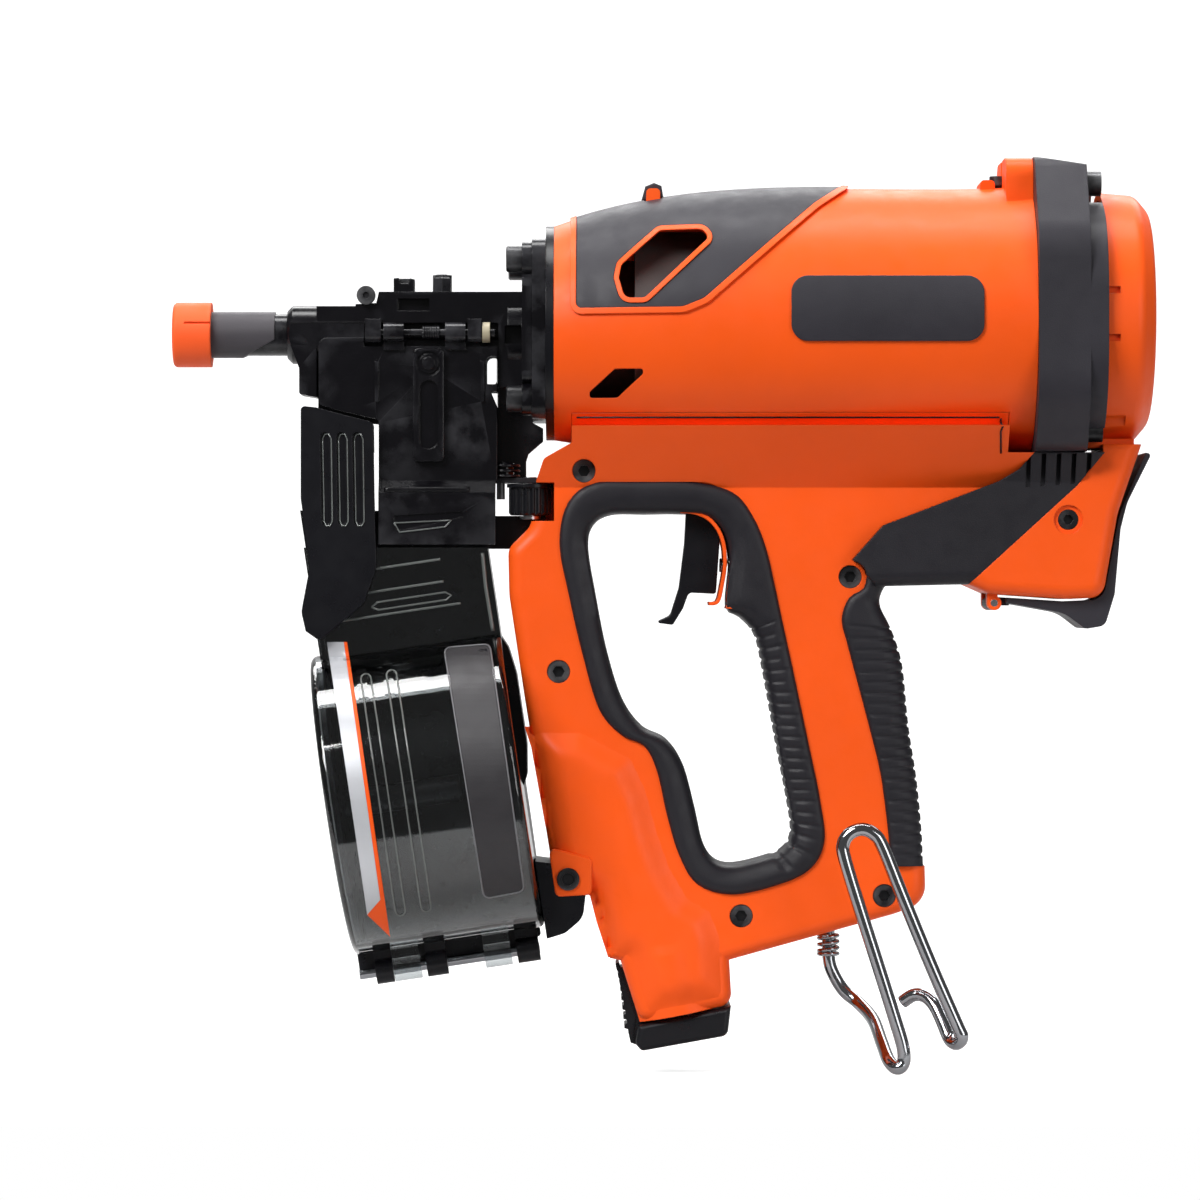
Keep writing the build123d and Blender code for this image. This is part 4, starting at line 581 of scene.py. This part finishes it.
def overmould(name, free, seam, closed, ribbed_from_x, node, well=None):
    """A soft rounded band round the handle, from a free edge to a seam, both given as (x, z) points in mm.

    Behind ribbed_from_x it has ribs across it. Where well names a region (low x, low z), the middle of the
    band is sunk, for the trigger to move in.
    """
    places = band_places(free, closed, ribbed_from_x)
    verts = []
    for place in places:
        edge, back = spline(free, place, closed), spline(seam, place, closed)
        inward = (back - edge).normalized()
        width = (back - edge).length
        narrow = min(width / FULL_WIDTH, 1)
        deep, long = groove(edge.y)
        section = [(reach * narrow, y) for reach, y in FREE_EDGE]
        section += [(width - reach * narrow, y) for reach, y in SEAM_EDGE]
        half = []
        for k, (reach, y) in enumerate(section):
            before, after = section[max(k - 1, 0)], section[min(k + 1, len(section) - 1)]
            run, rise = after[0] - before[0], after[1] - before[1]
            size = math.hypot(run, rise)
            if edge.x > ribbed_from_x and reach < width * (LONG_GROOVE if long else SHORT_GROOVE):
                reach += RIB_DEPTH * deep * rise / size
                y -= RIB_DEPTH * deep * run / size
            if well and edge.x > well[0] and edge.y > well[1] and y < WELL_HALF:
                reach += WELL_DEPTH
            elif y > CORE_FROM_Y and 0 < k < len(section) - 1:
                spot = edge + inward * reach
                y = max(y, core_height(spot.x, spot.y) + CORE_COVER)
            half.append((reach, y))
        for reach, y in [(reach, -y) for reach, y in reversed(half)] + half[1:]:
            spot = edge + inward * reach
            verts.append(Vector((spot.x, y, spot.y)) * MM)
    sides = 2 * (len(FREE_EDGE) + len(SEAM_EDGE)) - 1
    faces = skin(len(places), sides, looped=closed)
    band = piece(name, verts, faces, MATERIALS["rubber"], "tool", "rubber")
    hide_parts(node)


OPENING_CURVE = ((172, -65.4), (159.5, -65.6), (153.0, -69.4), (151.2, -77.5), (154.0, -95), (158.0, -115),
                 (163.5, -132.5), (170.7, -142.6), (179.3, -147.2), (185.4, -155.9), (189.6, -171),
                 (192.6, -184), (196.8, -191.0), (203.5, -192.9), (214.7, -190.5), (222.2, -187.2),
                 (225.1, -181.0), (223.4, -168), (219.5, -148), (215.0, -123), (211.9, -109.5),
                 (206.5, -103.0), (201.5, -99.2), (202.4, -83), (200.2, -72.2), (194.0, -66.3),
                 (184.0, -65.3))
RING_CURVE = ((170, -53.6), (153.5, -54.2), (144.0, -61.3), (140.8, -76), (144.4, -96), (149.3, -117),
              (155.2, -136.4), (163.2, -145.6), (171.4, -149.6), (176.0, -158.5), (179.8, -175),
              (184.2, -189.3), (190.7, -199.6), (203.0, -203.3), (219.0, -200.1), (231.4, -194.2),
              (236.7, -184), (235.0, -168), (231.0, -148.5), (225.4, -122), (221.9, -106), (220.0, -97),
              (218.5, -90), (215.8, -78.5), (211.2, -67), (203.5, -57.7), (188, -53.8))
overmould("hand_opening_overmould", OPENING_CURVE, RING_CURVE, True, 200, "hand_opening_grip",
          well=(186, -97))

REAR_EDGE_CURVE = ((263.5, -88.4), (259.3, -91.2), (257.0, -95.2), (257.2, -99.5), (260.2, -105.5),
                   (263.0, -112.5), (265.3, -122), (267.3, -142), (269.6, -157), (271.0, -168), (272.2, -182),
                   (272.6, -193))
REAR_SEAM_CURVE = ((255.0, -80.5), (252.3, -86.5), (250.8, -92.4), (245.6, -95.9), (242.9, -103.5),
                   (244.9, -112.5), (247.4, -122), (252.7, -142), (256.4, -157), (258.2, -168), (259.8, -182),
                   (260.5, -193))
overmould("rear_grip_overmould", REAR_EDGE_CURVE, REAR_SEAM_CURVE, False, 240, "rear_grip_pad")

# ---------------------------------------------------------------- trigger rim
RIM_CURVE = ((184.6, -64.6), (189.5, -64.9), (194.5, -67.0), (198.3, -71.2), (200.4, -77.0), (200.8, -84),
             (199.8, -91), (198.2, -97.2), (195.0, -98.0))
RIM_T, RIM_INNER_Y, RIM_OUTER_Y = 1.3, 7.4, 15.4
RIM_STEPS = 5                   # sections of the rim in each span of its curve
RIM_FEEL = 0.05                 # how far along the curve, in spans, its direction is taken


def trigger_cheeks():
    """The orange edge of the trigger well, one curved strip on each side of the trigger."""
    verts, faces = [], []
    last = len(RIM_CURVE) - 1
    rings = last * RIM_STEPS + 1
    for low_y, high_y in ((-RIM_OUTER_Y, -RIM_INNER_Y), (RIM_INNER_Y, RIM_OUTER_Y)):
        faces += skin(rings, 4, start=len(verts))
        for i in range(rings):
            place = i / RIM_STEPS
            here = spline(RIM_CURVE, min(place, last - 0.001), False)
            ahead = spline(RIM_CURVE, min(place + RIM_FEEL, last - 0.0001), False)
            behind = spline(RIM_CURVE, max(place - RIM_FEEL, 0), False)
            along = (ahead - behind).normalized()
            sideways = Vector((-along.y, along.x)) * RIM_T / 2
            for offset, y in ((-1, low_y), (1, low_y), (1, high_y), (-1, high_y)):
                spot = here + sideways * offset
                verts.append(Vector((spot.x, y, spot.y)) * MM)
    cheeks = piece("trigger_cheeks", verts, faces, *ORANGE_PLASTIC, smooth=False)
    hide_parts("trigger_rim")


trigger_cheeks()

# ---------------------------------------------------------------- springs
probe_spring = coil_spring("probe_spring_wire", (106, 7.4, -49.4), (1, 0, 0), 18, 2.1, 0.5, 7,
                           "probe_spring", "tool", "black_metal")
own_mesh(probe_spring)
trigger_spring = coil_spring("trigger_spring_wire", (198.9, 0, -84), (1, 0, 0), 14.1, 2.2, 0.4, 6,
                             "trigger_spring", "tool")
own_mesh(trigger_spring)
coil_spring("door_spring_wire", (91.0, -13.5, 0.3), (1, 0, 0), 6.4, 2.05, 0.38, 8, "door_spring", "tool",
            "black_metal")
coil_spring("hook_spring_wire", (238.8, 0, -226.6), (0, 0, 1), 8.4, 3.5, 0.75, 4.5, "hook_spring", "tool",
            "chrome")

# ---------------------------------------------------------------- magazine label and stripe
label = rounded(((98.9, -114.5), (115.0, -113.1), (127.5, -202.5), (113.6, -205.3)), 2.4)
film("magazine_label", label, "magazine_cover", LABEL, "magazine_cover")
silver = ((55.8, -112.0), (62.0, -112.0), (75.4, -206.0), (70.6, -211.5))
film("stripe_silver", silver, "magazine_cover", SILVER, "magazine_cover")
orange = ((62.0, -112.0), (63.2, -112.0), (79.0, -219.5), (70.6, -211.5), (75.4, -206.0))
film("stripe_orange", orange, "magazine_cover", MATERIALS["orange_housing"], "magazine_cover")

# ---------------------------------------------------------------- moulded lines of the clear cover
DRUM_X, DRUM_Z, DRUM_TILT = 92.7, -166.8, math.radians(8.5)


def in_drum(u, v):
    """A point (x, z) in mm from its place along the drum's axis and across it."""
    return (DRUM_X + u * math.cos(DRUM_TILT) - v * math.sin(DRUM_TILT),
            DRUM_Z + u * math.sin(DRUM_TILT) + v * math.cos(DRUM_TILT))


def racetrack(low_u, high_u, low_v, high_v, steps=8):
    """A closed outline (x, z) with round ends, from its bounds in the drum's frame. Sizes are in mm."""
    middle, half = (low_u + high_u) / 2, (high_u - low_u) / 2
    angles = [math.pi * k / steps for k in range(steps + 1)]
    top = [(middle + half * math.cos(a), high_v - half + half * math.sin(a)) for a in angles]
    foot = [(middle - half * math.cos(a), low_v + half - half * math.sin(a)) for a in angles]
    return [in_drum(u, v) for u, v in top + foot]


# the beads below carry a painted glint: a lighter grey for the highlight along each moulded line
for i, (low_u, high_u) in enumerate(((-18.1, -14.5), (-8.6, -5.0))):
    bead(f"cover_rib_edge_{i}", racetrack(low_u, high_u, -43, 46), 0.35, 0.1, *ON_COVER, closed=True)
label_rim = rounded(((98.5, -114.1), (115.3, -112.7), (127.9, -202.9), (113.2, -205.7)), 2.6)
bead("label_edge", label_rim, 0.28, 0.1, "magazine_cover", BORDER, "magazine_cover", "smoked_clear",
     closed=True)
for i, (v, low_u, high_u) in enumerate(((83.4, -20, 17), (75.2, -12, 17), (66.4, -24, 22))):
    bead(f"neck_ridge_{i}", [in_drum(low_u, v), in_drum(high_u, v)], 0.5, 0.2, *ON_COVER)
NECK_OVAL = ((-10.4, 69.8), (-8, 71.2), (17, 71.2), (19, 69.8), (17, 68.4), (-8, 68.4))
bead("neck_oval", [in_drum(u, v) for u, v in NECK_OVAL], 0.4, 0.15, *ON_COVER, closed=True)
NECK_SIDE = ((113.0, -66.5), (113.4, -74), (112.6, -79.5), (113.8, -92), (116.4, -108))
bead("neck_side_ridge", NECK_SIDE, 0.7, 0.3, *ON_COVER)
HINGE_BAR = ((-34.6, -52), (-34.6, -61.5), (24, -61.5), (33, -58), (33, -52))
plate("hinge_bar", rounded([in_drum(u, v) for u, v in HINGE_BAR], 1.2), 4.8, 7.4, 0.5, *BLACK_PLASTIC)

# ---------------------------------------------------------------- seams of the housing and the crown's fin
bead("seam_line", ((147, -30.0), (301.4, -30.0)), 0.35, 0.3, *ON_SHELL)
bead("seam_step", ((301.9, -30.4), (301.9, -43.0)), 0.35, 0.3, *ON_SHELL)
CAP_SEAM = ((332, -38.2), (349.0, -38.2), (349.0, -41.8), (332, -41.8))
plate("cap_seam", CAP_SEAM, -15, 15, 0.4, *ORANGE_PLASTIC)
CROWN_FIN = ((170.6, 49.0), (172.0, 54.1), (175.2, 55.4), (177.9, 54.3), (178.8, 49.0))
plate("crown_fin", CROWN_FIN, -2.6, 2.6, 0.5, MATERIALS["dark_plastic"], "tool", "dark_plastic")

# ---------------------------------------------------------------- nose details
PIN_HEAD = ((2.9, 0), (2.9, 1.0), (2.5, 1.6), (1.4, 1.95), (0.3, 2.0))
turned("nose_pin_head", (70.6, -9.4, 13.9), (0, -1, 0), PIN_HEAD, MATERIALS["steel"], "tool", "steel")
collar = [(3.0, -52.4)]
for z in (-51.6, -49.7, -47.8):
    # one of the collar's three round flanges
    collar += [(3.4, z - 0.6), (5.6, z - 0.45), (5.8, z), (5.6, z + 0.45), (3.4, z + 0.6)]
collar.append((3.0, -46.6))
turned("stop_collar", (120.7, -5.6, 0), (0, 0, 1), collar, *BLACK_METAL)
TOP_POST = ((3.6, 14.8), (3.5, 20.4), (2.9, 21.0), (2.9, 21.4), (2.3, 21.9))
turned("top_post", (97.9, -2, 0), (0, 0, 1), TOP_POST, *BLACK_METAL, sides=6)
TOP_CLIP = ((80.4, 15.0), (80.4, 20.4), (82.2, 20.6), (83.0, 18.6), (85.6, 18.6), (86.4, 20.4), (88.0, 20.0),
            (88.0, 15.0))
plate("top_clip", TOP_CLIP, -6.2, 2.0, 0.4, *BLACK_METAL)

# ---------------------------------------------------------------- nose door and finger grip
bead("flap_bend", ((76.6, -56.4), (108.0, -56.4)), 1.1, 0.7, "nose_door", MATERIALS["black_metal"],
     "nose_door", "black_metal")
FLAP_WEDGE = ((80.3, -68.6), (101.2, -67.6), (99.0, -70.0), (82.4, -72.0))
# the outline beads on the door carry a painted glint: a lighter grey for the highlight along each edge
bead("flap_wedge", FLAP_WEDGE, 0.3, 0.1, *ON_DOOR, closed=True)
BOSS_EDGE = ((90.9, -19.6), (91.6, -18.3), (93.6, -17.7), (95.5, -18.3), (96.2, -19.6), (95.4, -39.5),
             (93.4, -40.6), (91.4, -39.5))
bead("door_boss_edge", BOSS_EDGE, 0.3, 0.1, *ON_DOOR, closed=True)
# each groove's outline carries a painted glint: a lighter grey for the highlight along its edge
for i, x in enumerate((55.8, 61.6, 67.4)):
    outline = ((x - 1.6, -38), (x - 0.8, -36.2), (x + 0.8, -36.2), (x + 1.6, -38), (x + 2.0, -68.0),
               (x + 1.2, -69.6), (x - 0.2, -69.6), (x - 1.0, -68.0))
    bead(f"grip_groove_edge_{i}", outline, 0.28, 0.1, "cover_grip", GLINT_RIDGE, "magazine_cover",
         "black_plastic", closed=True)

# ---------------------------------------------------------------- lower housing and battery latch
BATTERY_SWELL = ((128.2, -142.5), (150.0, -143.0), (158.0, -147.8), (168.0, -152.6), (173.8, -165),
                 (177.8, -180), (182.4, -193), (188.6, -203.5), (196.5, -208), (200.6, -218),
                 (201.8, -242.0), (171.4, -248.2), (165.0, -227.6), (158.4, -226.0), (154.2, -213),
                 (151.8, -203.5), (139.2, -202.0), (137.8, -190), (130.6, -150))
swell("battery_swell", BATTERY_SWELL, 3.6, 11, "handle_shell_left", *ORANGE_PLASTIC)
bracket = rounded(((136.8, -186), (139.4, -204.0), (152.6, -203.2), (152.8, -190)), 2.5)
plate("bracket_boss", bracket, -22.0, -16, 0.8, *ORANGE_PLASTIC)
SCREW_HEAD = ((4.1, 0), (4.1, 1.3), (3.6, 1.7), (2.3, 1.7), (2.2, 0.7), (0.2, 0.7))
turned("bracket_screw_head", (144.0, -21.6, -197.5), (0, -1, 0), SCREW_HEAD, MATERIALS["black_screws"],
       "tool", "black_screws")

LATCH_TOP_X, LATCH_TOP_Z = 162.0, -230.5
TEETH, TOOTH_PITCH = 7, 3.4
LATCH_SLOPE = 0.11              # how far the row of teeth leans back for each mm down
latch = []
for i in range(TEETH):
    z = LATCH_TOP_Z - i * TOOTH_PITCH
    x = LATCH_TOP_X + (LATCH_TOP_Z - z) * LATCH_SLOPE
    latch += [(x, z), (x + 0.1, z - 1.5), (x + 1.4, z - 1.8), (x + 1.5, z - 3.0)]
latch += [(166.6, -257.6), (171.6, -259.4), (173.0, -253.2), (170.9, -249.0), (165.0, -229.6)]
plate("latch_grip", latch, -8.6, 8.6, 0.3, MATERIALS["black_plastic"], "battery_latch", "black_plastic")

# ---------------------------------------------------------------- rafter hook
# the hook's wire, bent in smooth curves: (x, z) as seen from the side, and y
HOOK_REACH, HOOK_WIRE_R = 50.0, 2.4
HOOK_STEPS = 6                  # points in each span of its curve
HOOK_PATH = ((238.8, -200, 0), (238.8, -217, 0), (239.0, -227.6, 0), (240.8, -233.4, 0), (244.6, -239.4, -1),
             (249.8, -243.8, -4), (255.1, -249.8, -15), (258.3, -258.2, -32), (261.0, -265.0, -45),
             (264.0, -267.6, -HOOK_REACH), (266.3, -265.4, -HOOK_REACH), (266.0, -259.5, -HOOK_REACH),
             (262.5, -247.7, -HOOK_REACH), (257.2, -230.8, -HOOK_REACH), (249.8, -207.6, -HOOK_REACH),
             (244.9, -191.2, -HOOK_REACH), (244.3, -185.9, -HOOK_REACH), (246.7, -182.0, -HOOK_REACH),
             (251.0, -180.4, -HOOK_REACH), (255.2, -182.0, -HOOK_REACH), (258.6, -186.6, -HOOK_REACH),
             (265.6, -204.0, -HOOK_REACH), (276.2, -229.8, -HOOK_REACH), (285.6, -251.4, -HOOK_REACH),
             (287.6, -256.3, -HOOK_REACH), (285.6, -258.6, -47), (283.0, -256.8, -43), (280.4, -250.6, -40),
             (277.6, -244.8, -37), (274.2, -241.4, -34), (270.0, -240.9, -32), (265.4, -243.8, -30))


def hook_wire():
    """The bent wire of the rafter hook, standing for the CAD hook."""
    path = [carried(x, z, y) + (y,) for x, z, y in HOOK_PATH]
    points = []
    for i in range(len(path) - 1):
        for k in range(HOOK_STEPS):
            spot = spline(path, i + k / HOOK_STEPS, False)
            points.append(Vector((spot.x, spot.z, spot.y)) * MM)
    verts, faces = tube(points, HOOK_WIRE_R * MM, sides=14)
    hook = piece("hook_wire", verts, faces, MATERIALS["chrome"], "rafter_hook", "chrome")
    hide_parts("rafter_hook")


hook_wire()

# ---------------------------------------------------------------- floor, light and camera
FLOOR_GAP = 0.0005              # between the object's lowest point and the floor, in metres
FLOOR_Z = cad_box[0][2] - FLOOR_GAP
FLOOR_FRONT_Y = -0.21           # the cover mirrors this edge as the border between grey and black
FLOOR_BACK_Y, WALL_CURVE_R, WALL_TOP_Z, FLOOR_HALF = 1.2, 0.8, 3.5, 4.0
WALL_STEPS = 12                 # flat strips in the curve between floor and wall
FLOOR_GREY, FLOOR_GLOW = 0.50, 0.75         # the floor's own grey, and the glow that only the camera sees
ROOM_LIGHT = 0.13               # how strongly the white surroundings light the object
FRAME_WIDTH = 0.438             # what the picture shows across, in metres, at the object
SENSOR_WIDTH = 36.0             # in mm


def backdrop():
    """A pale floor that curves up into a wall behind the object."""
    profile = [(FLOOR_FRONT_Y, FLOOR_Z), (FLOOR_BACK_Y, FLOOR_Z)]
    for i in range(1, WALL_STEPS + 1):
        angle = math.pi / 2 * i / WALL_STEPS
        profile.append((FLOOR_BACK_Y + WALL_CURVE_R * math.sin(angle),
                        FLOOR_Z + WALL_CURVE_R * (1 - math.cos(angle))))
    profile.append((FLOOR_BACK_Y + WALL_CURVE_R, WALL_TOP_Z))
    verts = [(x, y, z) for y, z in profile for x in (-FLOOR_HALF, FLOOR_HALF)]
    faces = [(2 * i, 2 * i + 1, 2 * i + 3, 2 * i + 2) for i in range(len(profile) - 1)]
    mesh = bpy.data.meshes.new("backdrop")
    mesh.from_pydata(verts, [], faces)
    for polygon in mesh.polygons:
        polygon.use_smooth = True
    obj = bpy.data.objects.new("backdrop", mesh)
    bpy.context.scene.collection.objects.link(obj)
    mesh.materials.append(floor_material())


def floor_material():
    """A matt grey for the object's reflections and light, which glows pale to the camera."""
    mat, links, shader, add = tree_of("pale_floor")
    shader.inputs["Base Color"].default_value = (FLOOR_GREY, FLOOR_GREY, FLOOR_GREY, 1)
    shader.inputs["Roughness"].default_value = 0.9
    glow = add("ShaderNodeEmission", Color=(1, 1, 1, 1), Strength=FLOOR_GLOW)
    path = add("ShaderNodeLightPath")
    seen = add("ShaderNodeMath")
    seen.operation = "MAXIMUM"
    links.new(path.outputs["Is Camera Ray"], seen.inputs[0])
    links.new(path.outputs["Is Transmission Ray"], seen.inputs[1])
    total = add("ShaderNodeAddShader")
    choice = add("ShaderNodeMixShader")
    links.new(shader.outputs["BSDF"], total.inputs[0])
    links.new(glow.outputs["Emission"], total.inputs[1])
    links.new(seen.outputs[0], choice.inputs["Fac"])
    links.new(shader.outputs["BSDF"], choice.inputs[1])
    links.new(total.outputs[0], choice.inputs[2])
    links.new(choice.outputs[0], mat.node_tree.nodes["Material Output"].inputs["Surface"])
    return mat


def lamp(name, place, aim, size, power):
    """A rectangular area lamp: its place, aim and size in metres, and its power in watts."""
    light = bpy.data.lights.new(name, "AREA")
    light.shape = "RECTANGLE"
    light.size, light.size_y = size
    light.energy = power
    obj = bpy.data.objects.new(name, light)
    bpy.context.scene.collection.objects.link(obj)
    obj.location = place
    obj.rotation_euler = (Vector(aim) - Vector(place)).to_track_quat("-Z", "Y").to_euler()


def surroundings():
    """White surroundings for the camera, which light the object only dimly."""
    world = bpy.context.scene.world or bpy.data.worlds.new("studio")
    bpy.context.scene.world = world
    world.use_nodes = True
    background = world.node_tree.nodes["Background"]
    background.inputs["Color"].default_value = (1, 1, 1, 1)
    ray = world.node_tree.nodes.new("ShaderNodeLightPath")
    level = world.node_tree.nodes.new("ShaderNodeMapRange")
    level.inputs["To Min"].default_value = ROOM_LIGHT
    level.inputs["To Max"].default_value = 1.0
    world.node_tree.links.new(ray.outputs["Is Camera Ray"], level.inputs["Value"])
    world.node_tree.links.new(level.outputs["Result"], background.inputs["Strength"])


def long_lens():
    """The camera: a long lens, level with the object's middle and square to its near side."""
    data = bpy.data.cameras.new("camera")
    camera = bpy.data.objects.new("camera", data)
    bpy.context.scene.collection.objects.link(camera)
    camera.location = (AIM[0], AIM[1] - CAMERA_DISTANCE, AIM[2])
    camera.rotation_euler = (math.pi / 2, 0, 0)
    data.sensor_width = SENSOR_WIDTH
    data.lens = SENSOR_WIDTH * CAMERA_DISTANCE / FRAME_WIDTH
    data.clip_end = 50
    bpy.context.scene.camera = camera


backdrop()
CENTRE = (0.17, 0, -0.10)
lamp("key", (-0.9, -1.5, 1.2), CENTRE, (1.1, 0.9), 50)
lamp("fill", (1.5, -1.6, 0.3), CENTRE, (0.9, 1.2), 12)
# the overhead lamp makes the bright band along the top of the clear drum
lamp("overhead", (0.12, 0.05, 1.35), (0.12, 0.05, 0), (1.7, 0.42), 26)
lamp("top_back", (0.2, 1.0, 0.8), CENTRE, (1.8, 0.5), 14)
surroundings()
long_lens()
bpy.context.scene.view_settings.view_transform = "Standard"
